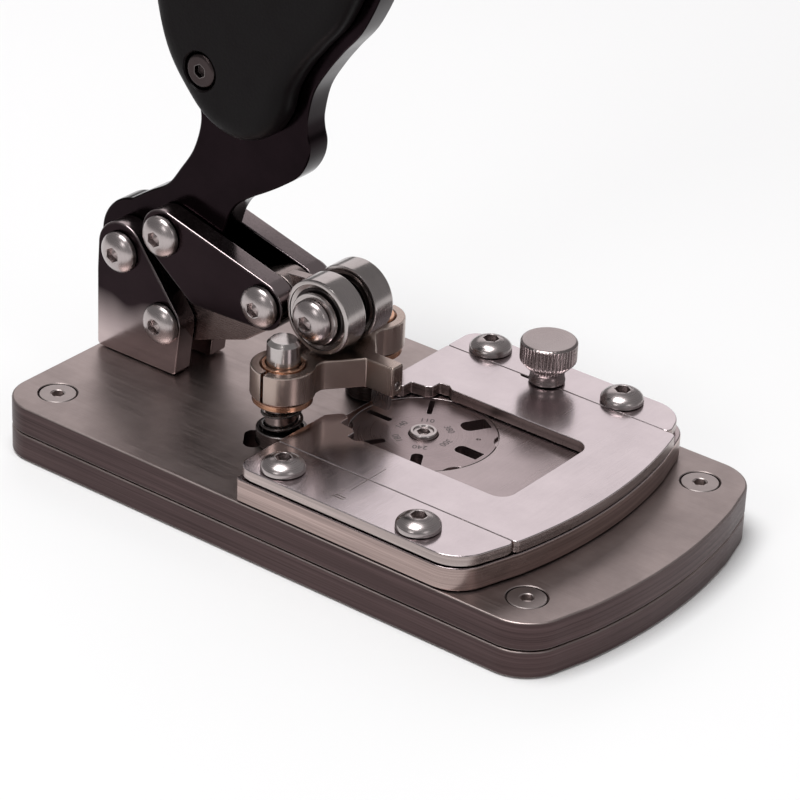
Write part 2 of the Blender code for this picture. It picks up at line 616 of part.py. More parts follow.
def build_bridge():
    """Cross-head: two split bosses joined by a bar with a forward nose that holds the punch."""
    half_corners = [(COLUMN_X, 17.0 * MM, 0.5 * MM), (COLUMN_X, 6.6 * MM, 0.5 * MM),
                    (8.6 * MM, 7.0 * MM, 2.0 * MM), (NOSE_HALF_WIDTH, NOSE_REAR_Y, 0.6 * MM),
                    (NOSE_HALF_WIDTH, NOSE_FRONT_Y, 0.5 * MM)]
    corners = half_corners + [(-x, y, r) for x, y, r in half_corners[::-1]]
    bridge = prism("punch_bridge", rounded(corners), BRIDGE_LOW_Z, BRIDGE_TOP_Z, "bridge_steel",
                   chamfer=0.3 * MM, origin=(0.0, COLUMN_Y, BRIDGE_LOW_Z))
    for side in (-1, 1):
        at = (side * COLUMN_X, COLUMN_Y, 0.0)
        low = BRIDGE_LOW_Z + 0.02 * MM
        top = BRIDGE_TOP_Z + 0.02 * MM
        boss = turned("cutter", [(0.0, low), (BOSS_RADIUS, low), (BOSS_RADIUS, top - 0.4 * MM),
                                 (BOSS_RADIUS - 0.4 * MM, top), (0.0, top)], at, None, "Z", 28)
        combine(bridge, boss, "UNION")
        slit_x = sorted((side * (COLUMN_X + 3.0 * MM), side * (COLUMN_X + 9.0 * MM)))
        slit = [(slit_x[0], COLUMN_Y - 0.4 * MM), (slit_x[1], COLUMN_Y - 0.4 * MM),
                (slit_x[1], COLUMN_Y + 0.4 * MM), (slit_x[0], COLUMN_Y + 0.4 * MM)]
        cut(bridge, hole_along("Z", at, 4.4 * MM + GAP, 20.0 * MM, 34.0 * MM, 20),
            prism("cutter", slit, 20.0 * MM, 34.0 * MM, None))
    y0, y1 = PUNCH_Y
    w = PUNCH_HALF_WIDTH
    top = BRIDGE_LOW_Z + 3.0 * MM
    pocket = [(-w - GAP, y0 - GAP), (w + GAP, y0 - GAP), (w + GAP, y1 + GAP), (-w - GAP, y1 + GAP)]
    cut(bridge, prism("cutter", pocket, 20.0 * MM, top + GAP, None))
    screw_z = BRIDGE_LOW_Z + 2.0 * MM
    cut(bridge, drill((0.0, NOSE_FRONT_Y, screw_z), [(0.8 * MM + GAP, -MM), (0.8 * MM + GAP, 1.1 * MM)],
                      "Y", 10))
    punch_shape = [(-w, y0), (w, y0), (w, y1), (-w, y1)]
    prism("punch_blade", punch_shape, PUNCH_TIP_Z, top, "screw_steel",
          origin=(0.0, 0.0, PUNCH_TIP_Z))
    turned("punch_set_screw", [(0.0, 0.1 * MM), (0.8 * MM, 0.1 * MM), (0.8 * MM, 0.8 * MM),
                               (0.0, 0.8 * MM)],
           (0.0, NOSE_FRONT_Y, screw_z), "screw_steel", "Y", 10)


# ---------------------------------------------------------------- linkage

def side_plate(name, outline, low, high, slot, holes, chamfer, pivot):
    """Plate across X with an outline in (Y, Z), round holes and its origin on a pivot."""
    origin = (0.0, pivot[0], pivot[1])
    plate = prism(name, outline, low, high, slot, axis="X", chamfer=chamfer, origin=origin)
    for at, radius in holes:
        cut(plate, hole_along("X", at, radius, low - MM, high + MM, 16))
    return plate


def build_linkage():
    upright = hull_of_circles([(HANDLE_PIVOT, 6.3 * MM), (ARM_PIVOT, 4.8 * MM),
                               ((47.0 * MM, BASE_TOP_Z + 1.3 * MM), MM),
                               ((66.6 * MM, BASE_TOP_Z + 1.3 * MM), MM),
                               ((66.6 * MM, 30.0 * MM), MM)], 20)
    link = hull_of_circles([(LINK_TOP, 5.5 * MM), (LINK_LOW, 5.4 * MM),
                            ((40.8 * MM, 33.4 * MM), 3.2 * MM)], 24)
    for side, label in ((-1, "left"), (1, "right")):
        low, high = sorted((side * CHEEK_INNER, side * CHEEK_OUTER))
        plate = side_plate(label + "_upright", upright, low, high, "dark_steel",
                           [(HANDLE_PIVOT, HOLE_RADIUS), (ARM_PIVOT, HOLE_RADIUS)], 0.3 * MM,
                           HANDLE_PIVOT)
        for y in FOOT_SCREW_Y:
            at = (side * FOOT_SCREW_X, y)
            cut(plate, hole_along("Z", at, FOOT_SCREW["shank_radius"] + GAP, 11.0 * MM,
                                  FOOT_SCREW_TOP_Z + GAP, 12))
            where = "rear" if y == FOOT_SCREW_Y[1] else "front"
            flush_screw("foot_screw_%s_%s" % (label, where), (*at, 0.1 * MM), -1,
                        length=FOOT_SCREW_TOP_Z - 0.1 * MM, flats=2.0 * MM, **FOOT_SCREW)
        side_plate(label + "_link", link, low, high, "dark_steel",
                   [(LINK_TOP, OPEN_PIVOT_HOLE), (LINK_LOW, HOLE_RADIUS)], 0.3 * MM, LINK_LOW)

    lever = hull_of_circles([(ARM_PIVOT, 5.6 * MM), (LINK_LOW, 5.2 * MM),
                             ((33.0 * MM, 26.5 * MM), 3.0 * MM)], 20)
    nose = hull_of_circles([(LINK_LOW, 5.0 * MM), (ROLLER_AXIS, 4.6 * MM)], 20)
    arm = prism("press_arm", lever, -CORE_HALF, CORE_HALF, "dark_steel", axis="X",
                chamfer=0.3 * MM, origin=(0.0, *ARM_PIVOT))
    combine(arm, prism("cutter", nose, -ARM_NOSE_HALF, ARM_NOSE_HALF, None, axis="X"), "UNION")
    for at in (ARM_PIVOT, LINK_LOW, ROLLER_AXIS):
        cut(arm, hole_along("X", at, HOLE_RADIUS, -5.0 * MM, 5.0 * MM, 16))


def build_pins():
    """Each pivot is a long button-head bolt from the left and a short end screw on the right."""
    seat = CHEEK_OUTER + GAP
    pivots = (("handle_pivot", HANDLE_PIVOT, seat), ("arm_pivot", ARM_PIVOT, seat),
              ("link_top", LINK_TOP, seat), ("link_low", LINK_LOW, seat),
              ("roller", ROLLER_AXIS, ROLLER_COLLAR_X + GAP))
    for label, (y, z), face in pivots:
        button_screw(label + "_bolt", (-face, y, z), "X", -1, face + 3.4 * MM)
        button_screw(label + "_end_screw", (face, y, z), "X", 1, face - 3.7 * MM)


def build_rollers():
    """Two ball-bearing rollers; each inner ring carries a collar that spaces the bolt's head."""
    width = ROLLER_OUTER_X - ROLLER_INNER_X
    collar = ROLLER_COLLAR_X - ROLLER_INNER_X
    for side, label in ((-1, "left"), (1, "right")):
        place = (side * ROLLER_INNER_X, *ROLLER_AXIS)
        r = ROLLER_RADIUS
        ring = [(5.0 * MM, 0.4 * MM), (6.6 * MM, 0.4 * MM), (6.6 * MM, 0.0), (r - 0.4 * MM, 0.0),
                (r, 0.4 * MM), (r, width - 0.5 * MM), (r - 0.5 * MM, width), (6.6 * MM, width),
                (6.6 * MM, width - 0.4 * MM), (5.0 * MM, width - 0.4 * MM)]
        turned(label + "_roller", [(q, h * side) for q, h in ring], place, "screw_steel", "X", 28)
        inner = [(HOLE_RADIUS, 0.0), (4.6 * MM, 0.0), (4.6 * MM, width), (5.4 * MM, width + 0.1 * MM),
                 (5.4 * MM, collar), (HOLE_RADIUS, collar)]
        turned(label + "_bearing_inner_ring", [(q, h * side) for q, h in inner], place,
               "screw_steel", "X", 16)


# ---------------------------------------------------------------- handle

HANDLE_REAR = [(62.7, 45.7), (58.0, 48.9), (53.0, 52.1), (49.6, 56.6), (46.3, 61.8), (44.5, 68.0),
               (45.1, 72.4), (47.8, 76.9), (51.2, 82.5), (54.2, 90.0), (55.7, 100.0), (55.0, 112.0),
               (51.0, 124.0), (43.5, 134.5), (33.5, 141.0), (22.0, 143.5), (11.0, 140.8),
               (3.0, 133.0), (-0.8, 122.0), (-0.4, 110.0), (4.0, 99.5), (9.0, 93.2), (12.6, 88.4),
               (15.8, 83.0), (17.2, 77.0), (17.1, 74.0), (16.4, 71.0), (17.0, 67.6), (19.2, 64.0),
               (23.1, 60.9), (27.0, 58.3), (31.1, 55.8), (34.4, 53.3), (36.6, 50.0), (38.5, 44.5),
               (41.4, 39.6)]
SCALE_EDGE = [(44.5, 77.0), (49.2, 83.5), (52.0, 91.5), (53.4, 101.0), (52.6, 111.5), (48.8, 122.8),
              (42.0, 132.2), (32.7, 138.4), (22.2, 140.7), (12.3, 138.3), (5.2, 131.5), (1.7, 121.5),
              (2.1, 110.8), (6.1, 101.0), (11.3, 94.5), (15.2, 89.5), (18.4, 83.8), (20.2, 77.5),
              (24.5, 72.0), (31.5, 69.8), (39.0, 72.0)]


def build_handle():
    origin = (0.0, *HANDLE_PIVOT)
    lobe = arc(HANDLE_PIVOT, 9.8 * MM, -118, 80, 12)
    sides = [(y * MM, z * MM) for y, z in HANDLE_REAR]
    toe = arc(LINK_TOP, 7.0 * MM, 225, 285, 4)
    outline = lobe[:-1] + sides + toe
    handle = prism("handle_plate", outline, -CORE_HALF, CORE_HALF, "handle_black", axis="X",
                   chamfer=0.3 * MM, origin=origin)
    holes = [(HANDLE_PIVOT, HOLE_RADIUS), (LINK_TOP, HOLE_RADIUS)]
    holes += [(at, 2.3 * MM) for at in GRIP_SCREWS]
    for at, radius in holes:
        cut(handle, hole_along("X", at, radius, -5.0 * MM, 5.0 * MM, 16))

    edge = [(y * MM, z * MM) for y, z in SCALE_EDGE]
    for side, label in ((-1, "left"), (1, "right")):
        inner = side * CHEEK_INNER
        outer = side * (CHEEK_INNER + SCALE_THICKNESS)
        levels = [(edge, inner), (edge, inner + side * 3.0 * MM),
                  (inset(edge, 0.8 * MM), inner + side * 4.7 * MM), (inset(edge, 2.4 * MM), outer)]
        rings = [[(w, y, z) for y, z in shape] for shape, w in levels]
        scale = add_object(label + "_grip_scale", loft(rings), "grip_black", origin)
        for index, (y, z) in enumerate(GRIP_SCREWS):
            head = drill((inner, y, z), [(2.3 * MM, -side * MM), (2.3 * MM, side * 3.4 * MM),
                                         (4.0 * MM, side * 3.4 * MM), (4.0 * MM, side * 7.0 * MM)],
                         "X", 12)
            cut(scale, head)
            where = ("lower", "upper")[index]
            build_grip_fastener(label, side, where, y, z)


def build_grip_fastener(label, side, where, y, z):
    """Left side: a screw that runs through the plate. Right side: its short nut."""
    seat = CHEEK_INNER + 3.7 * MM
    reach = seat + 2.7 * MM if side < 0 else seat - 3.0 * MM
    profile = [(0.0, -reach), (2.0 * MM, -reach), (2.0 * MM, 0.0), (3.6 * MM, 0.0),
               (3.6 * MM, 1.2 * MM), (3.1 * MM, 1.7 * MM), (0.0, 1.7 * MM)]
    name = "grip_%s_%s" % ("screw" if side < 0 else "nut", where)
    fastener = turned(name, [(r, h * side) for r, h in profile], (side * seat, y, z),
                      "screw_steel", "X", 12)
    socket = [[(side * (seat + h), y + u, z + v) for u, v in hexagon(2.5 * MM)]
              for h in (0.6 * MM, 3.0 * MM)]
    cut(fastener, add_object("cutter", loft(socket), None))


def build_press():
    for obj in list(bpy.data.objects):
        bpy.data.objects.remove(obj)
    build_base()
    build_die_plate()
    build_disc()
    build_rails()
    build_fence()
    build_thumb_screw()
    build_guides()
    build_bridge()
    build_linkage()
    build_pins()
    build_rollers()
    build_handle()


build_press()
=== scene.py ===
"""Looks of a bench toggle press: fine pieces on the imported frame, finishes, light and camera.

Metres, in the frame's own axes: +X the operator's right, +Y the rear, +Z up. Side-view points are
(Y, Z) pairs and plan points are (X, Y) pairs. Round pieces are turned about their own local +Z.
"""

import json
import math

import bmesh
import bpy
from mathutils import Matrix, Vector


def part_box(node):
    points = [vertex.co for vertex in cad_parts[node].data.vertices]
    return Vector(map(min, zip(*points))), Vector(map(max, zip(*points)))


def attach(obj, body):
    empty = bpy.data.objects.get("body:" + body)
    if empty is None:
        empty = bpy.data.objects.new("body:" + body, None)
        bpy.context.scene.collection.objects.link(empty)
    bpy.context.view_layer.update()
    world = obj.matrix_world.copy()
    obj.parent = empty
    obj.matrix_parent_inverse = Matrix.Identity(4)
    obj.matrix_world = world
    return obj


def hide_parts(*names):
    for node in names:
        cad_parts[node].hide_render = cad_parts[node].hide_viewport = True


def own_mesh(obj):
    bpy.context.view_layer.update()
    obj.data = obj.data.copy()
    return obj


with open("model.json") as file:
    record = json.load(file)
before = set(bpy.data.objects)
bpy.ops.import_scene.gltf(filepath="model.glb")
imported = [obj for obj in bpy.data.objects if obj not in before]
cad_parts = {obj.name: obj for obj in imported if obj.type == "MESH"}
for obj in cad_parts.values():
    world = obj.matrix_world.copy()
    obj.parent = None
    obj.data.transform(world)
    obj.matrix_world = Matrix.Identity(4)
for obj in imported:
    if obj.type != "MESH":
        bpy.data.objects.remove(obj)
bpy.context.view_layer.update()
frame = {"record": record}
MM = 0.001
GAP = 0.3 * MM
RECORD = frame["record"]
BODY_OF = {node: body for body, nodes in RECORD["behaviour"]["bodies"].items() for node in nodes}
SLOT_OF = {part["node"]: part["material_slot"] for part in RECORD["subparts"]}
SIDES = ((-1, "left"), (1, "right"))
ENDS = ("front", "rear")
CORNERS = [(end, label) for end in ENDS for _, label in SIDES]


def middle(node):
    """Centre of a CAD node's box."""
    low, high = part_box(node)
    return (low + high) / 2


# Places read from the frame
BASE_TOP_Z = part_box("base_upper_plate")[1].z
DIE_TOP_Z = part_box("die_plate")[1].z
RAIL_TOP_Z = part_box("left_rail")[1].z
HANDLE_PIVOT = middle("handle_pivot_bolt").yz
ARM_PIVOT = middle("arm_pivot_bolt").yz
LINK_TOP = middle("link_top_bolt").yz
LINK_LOW = middle("link_low_bolt").yz
ROLLER_AXIS = middle("roller_bolt").yz
DISC_XY = middle("disc_screw").xy
DISC_RADIUS = (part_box("index_disc")[1].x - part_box("index_disc")[0].x) / 2
THUMB_XY = middle("thumb_screw").xy
COLUMN_XY = {side: middle(label + "_guide_column").xy for side, label in SIDES}
CORE_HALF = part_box("handle_plate")[1].x
CHEEK_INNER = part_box("right_link")[0].x
CHEEK_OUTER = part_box("right_link")[1].x
FENCE_LEFT_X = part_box("sliding_fence")[0].x
FENCE_RIGHT_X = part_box("sliding_fence")[1].x
BRIDGE_LOW_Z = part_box("punch_bridge")[0].z
BRIDGE_TOP_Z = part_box("punch_bridge")[1].z

# Sizes that the boxes don't show
BASE_FRONT_RADIUS = 118.0 * MM
DIE_FRONT_RADIUS = 105.0 * MM
SLOT_WIDTHS = {30: 1.1, 90: 1.4, 150: 1.8, 210: 2.4, 270: 3.0, 330: 3.8}   # degrees: millimetres
HEAD_RADIUS = 4.45 * MM
HEAD_HEIGHT = 2.75 * MM
PIN_RADIUS = 2.5 * MM
PIVOT_HOLE = 2.8 * MM
OPEN_PIVOT_HOLE = 3.2 * MM                     # the links' clearance round their top bolt
DIE_HOLE = 1.8 * MM                            # screw and plunger holes of the die plate
COLUMN_RADIUS = 3.4 * MM
SLEEVE_RADIUS = 4.4 * MM                       # the bushes' sleeves inside the bridge
SHARP_DEGREES = 38


# ---------------------------------------------------------------- finishes

WORN_COLOUR = (0.80, 0.75, 0.73)
WORN_WIDTH = 0.35 * MM
MARK_RELIEF = 0.03 * MM                        # height of tool marks
PEBBLE_RELIEF = 0.08 * MM


class Graph:
    """A material's node tree with short calls to add nodes."""

    def __init__(self, name):
        self.material = bpy.data.materials.new(name)
        self.material.use_nodes = True
        self.tree = self.material.node_tree
        self.shader = self.tree.nodes["Principled BSDF"]

    def add(self, kind, **settings):
        node = self.tree.nodes.new("ShaderNode" + kind)
        for key, value in settings.items():
            setattr(node, key, value)
        return node

    def put(self, node, socket, value):
        if isinstance(value, bpy.types.NodeSocket):
            self.tree.links.new(value, node.inputs[socket])
        else:
            node.inputs[socket].default_value = value

    def place(self):
        return self.add("TexCoord").outputs["Object"]

    def normal(self):
        return self.add("NewGeometry").outputs["Normal"]

    def split(self, vector):
        """The three outputs that hold a vector's X, Y and Z."""
        node = self.add("SeparateXYZ")
        self.put(node, 0, vector)
        return node.outputs

    def math(self, operation, a, b=0.0, c=0.0):
        node = self.add("Math", operation=operation)
        for index, value in enumerate((a, b, c)):
            self.put(node, index, value)
        return node.outputs[0]

    def blend(self, factor, a, b):
        """Colour a where factor is 0 and b where it is 1."""
        node = self.add("Mix", data_type="RGBA")
        self.put(node, 0, factor)
        for index, colour in ((6, a), (7, b)):
            if not isinstance(colour, bpy.types.NodeSocket):
                colour = (*colour, 1.0)
            self.put(node, index, colour)
        return node.outputs[2]

    def ramp(self, value, low, high, to_low=0.0, to_high=1.0):
        node = self.add("MapRange")
        for index, number in enumerate((value, low, high, to_low, to_high)):
            self.put(node, index, number)
        return node.outputs[0]

    def noise(self, vector, scale, detail=3.0, roughness=0.6):
        node = self.add("TexNoise")
        self.put(node, "Vector", vector)
        self.put(node, "Scale", scale)
        self.put(node, "Detail", detail)
        self.put(node, "Roughness", roughness)
        return node.outputs["Fac"]

    def stretched(self, vector, scale):
        node = self.add("Mapping")
        self.put(node, "Vector", vector)
        self.put(node, "Scale", scale)
        return node.outputs[0]

    def cover(self, colour, roughness):
        self.put(self.shader, "Base Color", colour)
        self.put(self.shader, "Roughness", roughness)

    def relief(self, height, strength, distance):
        node = self.add("Bump")
        self.put(node, "Strength", strength)
        self.put(node, "Distance", distance)
        self.put(node, "Height", height)
        self.put(self.shader, "Normal", node.outputs[0])


def tint(colour, factor):
    return tuple(min(1.0, c * factor) for c in colour)


def lay_vector(graph, place, lay):
    """Coordinates that change fast across the tool marks and slowly along them."""
    if lay == "turned":                        # rings about local Z
        x, y, z = graph.split(place)
        squares = graph.math("ADD", graph.math("MULTIPLY", x, x), graph.math("MULTIPLY", y, y))
        join = graph.add("CombineXYZ")
        graph.put(join, 0, graph.math("MULTIPLY", graph.math("SQRT", squares), 9000.0))
        graph.put(join, 1, graph.math("MULTIPLY", z, 9000.0))
        graph.put(join, 2, graph.math("MULTIPLY", x, 120.0))
        return join.outputs[0]
    scales = {"X": (50.0, 4200.0, 4200.0), "Y": (4200.0, 50.0, 4200.0),
              "Z": (4200.0, 4200.0, 50.0), "none": (2400.0, 2400.0, 2400.0)}
    return graph.stretched(place, scales[lay])


def metal(name, colour, roughness, lay, marks, bump, mottle, wear,
          side=None, foot=None, top_sheen=None):
    """Machined metal: tool marks in roughness and bump, mottled tone, brighter worn edges.

    side is an optional (colour, roughness) for walls, where it differs from the faces across Z: the
    darker wall colour is painted shade that stands in for dark reflections, laid over real ground
    streaks.
    foot is an optional (colour, low, high): a painted reflection of the base, the lighter colour
    below low that fades into the surface's colour by high.
    The optional colour of the faces that look up is a painted sheen where they catch the light.
    """
    graph = Graph(name)
    place = graph.place()
    grain = graph.noise(lay_vector(graph, place, lay), 1.0, 2.0, 0.7)
    cloud = graph.noise(place, 95.0, 4.0, 0.62)
    smudge = graph.noise(graph.stretched(place, (1.0, 1.6, 1.0)), 38.0, 2.0, 0.5)
    tone = graph.ramp(cloud, 0.32, 0.68)
    surface = graph.blend(tone, tint(colour, 1.0 - mottle), tint(colour, 1.0 + mottle))
    rough = graph.ramp(grain, 0.3, 0.7, roughness - marks, roughness + marks)
    # Painted reflection of the base: lighter colour towards the bottom
    if foot is not None:
        base_reflection_colour, reflection_low, reflection_high = foot
        drift = graph.ramp(smudge, 0.3, 0.7, -2.0 * MM, 2.0 * MM)
        height = graph.math("ADD", graph.split(place)[2], drift)
        surface = graph.blend(graph.ramp(height, reflection_low, reflection_high), base_reflection_colour, surface)
    # Painted sheen: faces that look up get a lighter colour
    if top_sheen is not None:
        top_sheen_mask = graph.ramp(graph.split(graph.normal())[2], 0.2, 0.75)
        surface = graph.blend(top_sheen_mask, surface, top_sheen)
    # Walls: the darker colour is painted shade for dark reflections; the streaks and roughness are
    # the ground finish
    if side is not None:
        shaded_wall_colour, side_roughness = side
        side_grain = graph.noise(lay_vector(graph, place, "X"), 1.0, 3.0, 0.75)
        streak = graph.noise(graph.stretched(place, (14.0, 14.0, 1500.0)), 1.0, 4.0, 0.7)
        level = graph.math("ABSOLUTE", graph.split(graph.normal())[2])
        upright = graph.ramp(level, 0.25, 0.75, 1.0, 0.0)
        shaded_wall = graph.blend(graph.ramp(streak, 0.35, 0.65), tint(shaded_wall_colour, 0.72),
                           tint(shaded_wall_colour, 1.35))
        surface = graph.blend(upright, surface, shaded_wall)
        wall_rough = graph.ramp(side_grain, 0.3, 0.7, side_roughness - marks,
                                side_roughness + marks)
        turn = graph.add("Mix", data_type="FLOAT")
        graph.put(turn, 0, upright)
        graph.put(turn, 2, rough)
        graph.put(turn, 3, wall_rough)
        rough = turn.outputs[0]
    edge = graph.add("Bevel", samples=4)
    graph.put(edge, "Radius", WORN_WIDTH)
    facing = graph.add("VectorMath", operation="DOT_PRODUCT")
    graph.put(facing, 0, edge.outputs[0])
    graph.put(facing, 1, graph.normal())
    worn = graph.ramp(facing.outputs["Value"], 0.995, 0.90, 0.0, wear)
    worn = graph.math("MULTIPLY", worn, graph.ramp(cloud, 0.3, 0.6, 0.35, 1.0))
    graph.cover(graph.blend(worn, surface, WORN_COLOUR),
                graph.math("ADD", rough, graph.ramp(smudge, 0.35, 0.7, -0.03, 0.06)))
    graph.put(graph.shader, "Metallic", 1.0)
    graph.relief(grain, bump, MARK_RELIEF)
    return graph.material


def grip_plastic(name, colour, roughness):
    """Moulded phenolic grip: fine pebble texture with a faint sheen."""
    graph = Graph(name)
    place = graph.place()
    pebble = graph.add("TexVoronoi")
    graph.put(pebble, "Vector", place)
    graph.put(pebble, "Scale", 1500.0)
    cloud = graph.noise(place, 120.0, 4.0)
    graph.cover(graph.blend(cloud, tint(colour, 0.7), tint(colour, 1.5)),
                graph.ramp(cloud, 0.3, 0.7, roughness - 0.1, roughness + 0.1))
    graph.relief(pebble.outputs["Distance"], 0.2, PEBBLE_RELIEF)
    graph.put(graph.shader, "Specular IOR Level", 0.09)
    return graph.material


def dark_fill(name):
    """Black paint in engraved marks."""
    graph = Graph(name)
    cloud = graph.noise(graph.place(), 900.0, 2.0)
    graph.cover(graph.blend(cloud, (0.035, 0.03, 0.03), (0.09, 0.08, 0.08)), 0.7)
    return graph.material


# name: colour, roughness, lay, marks, bump, mottle, wear
METALS = {
    "base_steel": ((0.355, 0.292, 0.28), 0.38, "Y", 0.06, 0.10, 0.12, 0.25),
    "bright_steel": ((0.57, 0.50, 0.515), 0.18, "X", 0.05, 0.05, 0.05, 0.35),
    "die_steel": ((0.38, 0.315, 0.318), 0.22, "X", 0.05, 0.05, 0.06, 0.30),
    "disc_steel": ((0.315, 0.25, 0.253), 0.30, "turned", 0.06, 0.08, 0.08, 0.25),
    "dark_steel": ((0.017, 0.010, 0.012), 0.17, "Y", 0.04, 0.03, 0.12, 0.40),
    "arm_steel": ((0.27, 0.22, 0.21), 0.26, "Y", 0.05, 0.05, 0.15, 0.45),
    "bridge_steel": ((0.42, 0.335, 0.295), 0.29, "Z", 0.015, 0.01, 0.06, 0.30),
    "screw_steel": ((0.44, 0.39, 0.385), 0.25, "turned", 0.05, 0.06, 0.12, 0.20),
    "black_screw": ((0.05, 0.038, 0.038), 0.30, "turned", 0.06, 0.06, 0.15, 0.3),
    "flush_screw_steel": ((0.36, 0.31, 0.30), 0.36, "turned", 0.08, 0.12, 0.12, 0.30),
    "roller_steel": ((0.42, 0.38, 0.37), 0.19, "turned", 0.05, 0.10, 0.12, 0.40),
    "seal_steel": ((0.035, 0.028, 0.028), 0.36, "turned", 0.06, 0.08, 0.10, 0.1),
    "column_steel": ((0.48, 0.44, 0.43), 0.17, "turned", 0.05, 0.08, 0.08, 0.45),
    "knurled_steel": ((0.34, 0.29, 0.285), 0.24, "turned", 0.05, 0.12, 0.08, 0.5),
    "cup_steel": ((0.10, 0.084, 0.082), 0.24, "turned", 0.05, 0.06, 0.12, 0.35),
    "punch_steel": ((0.30, 0.27, 0.265), 0.26, "Z", 0.05, 0.08, 0.10, 0.4),
    "spring_steel": ((0.10, 0.088, 0.085), 0.28, "none", 0.06, 0.05, 0.15, 0.1),
    "bronze": ((0.55, 0.30, 0.19), 0.22, "turned", 0.06, 0.10, 0.12, 0.30),
    "handle_black": ((0.009, 0.005, 0.0065), 0.17, "Y", 0.04, 0.03, 0.20, 0.06),
}
VARIED = {
    # side colours: painted shade, walls darker than the tops
    "base_steel": {"side": ((0.078, 0.052, 0.052), 0.42)},
    "bright_steel": {"side": ((0.40, 0.335, 0.32), 0.28)},
    "die_steel": {"side": ((0.36, 0.275, 0.255), 0.32)},
    # foot: painted reflection of the base, lighter low down
    "dark_steel": {"foot": ((0.52, 0.425, 0.42), 15.0 * MM, 26.0 * MM),
                   # painted sheen on the faces that look up
                   "top_sheen": (0.33, 0.27, 0.275)},
}
FINISH = {name: metal(name, *values, **VARIED.get(name, {})) for name, values in METALS.items()}
FINISH["grip_black"] = grip_plastic("grip_black", (0.0035, 0.0022, 0.0026), 0.42)
FINISH["engraving"] = dark_fill("engraving")


# ---------------------------------------------------------------- outlines

def arc(centre, radius, start, end, steps):
    """Points on an arc, angles in degrees, both ends included."""
    return [(centre[0] + radius * math.cos(math.radians(start + (end - start) * i / steps)),
             centre[1] + radius * math.sin(math.radians(start + (end - start) * i / steps)))
            for i in range(steps + 1)]


def rounded(corners, degrees_per_step=7.0):
    """Closed outline from (x, y, radius) corners, each corner turned into a tangent arc."""
    outline = []
    count = len(corners)
    for i in range(count):
        here = Vector(corners[i][:2])
        radius = corners[i][2]
        to_prev = (Vector(corners[i - 1][:2]) - here).normalized()
        to_next = (Vector(corners[(i + 1) % count][:2]) - here).normalized()
        opening = to_prev.angle(to_next)
        if radius <= 0.0 or opening > math.radians(178):
            outline.append(tuple(here))
            continue
        bisector = (to_prev + to_next).normalized()
        centre = here + bisector * (radius / math.sin(opening / 2))
        run = radius / math.tan(opening / 2)
        first = here + to_prev * run - centre
        last = here + to_next * run - centre
        sweep = first.angle_signed(last)
        steps = max(3, round(abs(math.degrees(sweep)) / degrees_per_step))
        for k in range(steps + 1):
            turn = Matrix.Rotation(-sweep * k / steps, 2)
            outline.append(tuple(centre + turn @ first))
    return outline


def turn_of(a, b, c):
    """Twice the signed area of triangle abc."""
    return (b[0] - a[0]) * (c[1] - a[1]) - (b[1] - a[1]) * (c[0] - a[0])


def hull_of_circles(circles, steps=90):
    """Convex outline round circles given as (centre, radius)."""
    points = sorted({p for centre, radius in circles
                     for p in arc(centre, radius, 0, 360 - 360 / steps, steps - 1)})

    def half(sequence):
        chain = []
        for p in sequence:
            while len(chain) > 1 and turn_of(chain[-2], chain[-1], p) <= 1e-12:
                chain.pop()
            chain.append(p)
        return chain[:-1]

    return half(points) + half(points[::-1])


def smooth_curve(points, per_span=6):
    """Catmull-Rom curve through points, from the first to the last."""
    result = []
    for i in range(len(points) - 1):
        p0 = Vector(points[max(i - 1, 0)])
        p1 = Vector(points[i])
        p2 = Vector(points[i + 1])
        p3 = Vector(points[min(i + 2, len(points) - 1)])
        for k in range(per_span):
            t = k / per_span
            result.append(tuple(0.5 * (2 * p1 + (p2 - p0) * t
                                       + (2 * p0 - 5 * p1 + 4 * p2 - p3) * t * t
                                       + (3 * p1 - p0 - 3 * p2 + p3) * t * t * t)))
    result.append(tuple(points[-1]))
    return result


def bow_y(apex_y, radius, x):
    """Y of a bowed front edge at x."""
    return apex_y + radius - math.sqrt(radius * radius - x * x)


def front_arc(apex_y, radius, half_width, steps):
    """Plan points along a bowed front edge, from left to right."""
    xs = [half_width * (2 * i / steps - 1) for i in range(steps + 1)]
    return [(x, bow_y(apex_y, radius, x)) for x in xs]


def inset(outline, distance):
    """Outline moved inwards by a distance along mitred corners."""
    area = sum(a[0] * b[1] - b[0] * a[1] for a, b in zip(outline, outline[1:] + outline[:1]))
    side = 1.0 if area > 0 else -1.0
    moved = []
    for i, here in enumerate(outline):
        back = (Vector(here) - Vector(outline[i - 1])).normalized()
        ahead = (Vector(outline[(i + 1) % len(outline)]) - Vector(here)).normalized()
        normal_a = Vector((-back.y, back.x)) * side
        normal_b = Vector((-ahead.y, ahead.x)) * side
        mitre = (normal_a + normal_b).normalized()
        reach = distance / max(mitre.dot(normal_a), 0.4)
        moved.append((here[0] + mitre.x * reach, here[1] + mitre.y * reach))
    return moved


def bowed_outline(node, radius, rear_corner, front_corner):
    """Plan outline of a plate with a straight rear and a bowed front, as wide as its CAD node."""
    low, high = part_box(node)
    front = front_arc(low.y, radius, high.x, 40)
    corners = [(high.x, high.y, rear_corner), (-high.x, high.y, rear_corner)]
    corners.append((*front[0], front_corner))
    corners += [(x, y, 0.0) for x, y in front_arc(low.y, radius, high.x * 0.62, 40)]
    corners.append((*front[-1], front_corner))
    return rounded(corners)


# ---------------------------------------------------------------- solids

def loft(rings):
    """Closed bmesh through rings of equal point count, with flat ends."""
    bm = bmesh.new()
    rows = [[bm.verts.new(p) for p in ring] for ring in rings]
    count = len(rows[0])
    for low, high in zip(rows, rows[1:]):
        for i in range(count):
            j = (i + 1) % count
            bm.faces.new((low[i], low[j], high[j], high[i]))
    bm.faces.new(rows[0][::-1])
    bm.faces.new(rows[-1])
    return bm


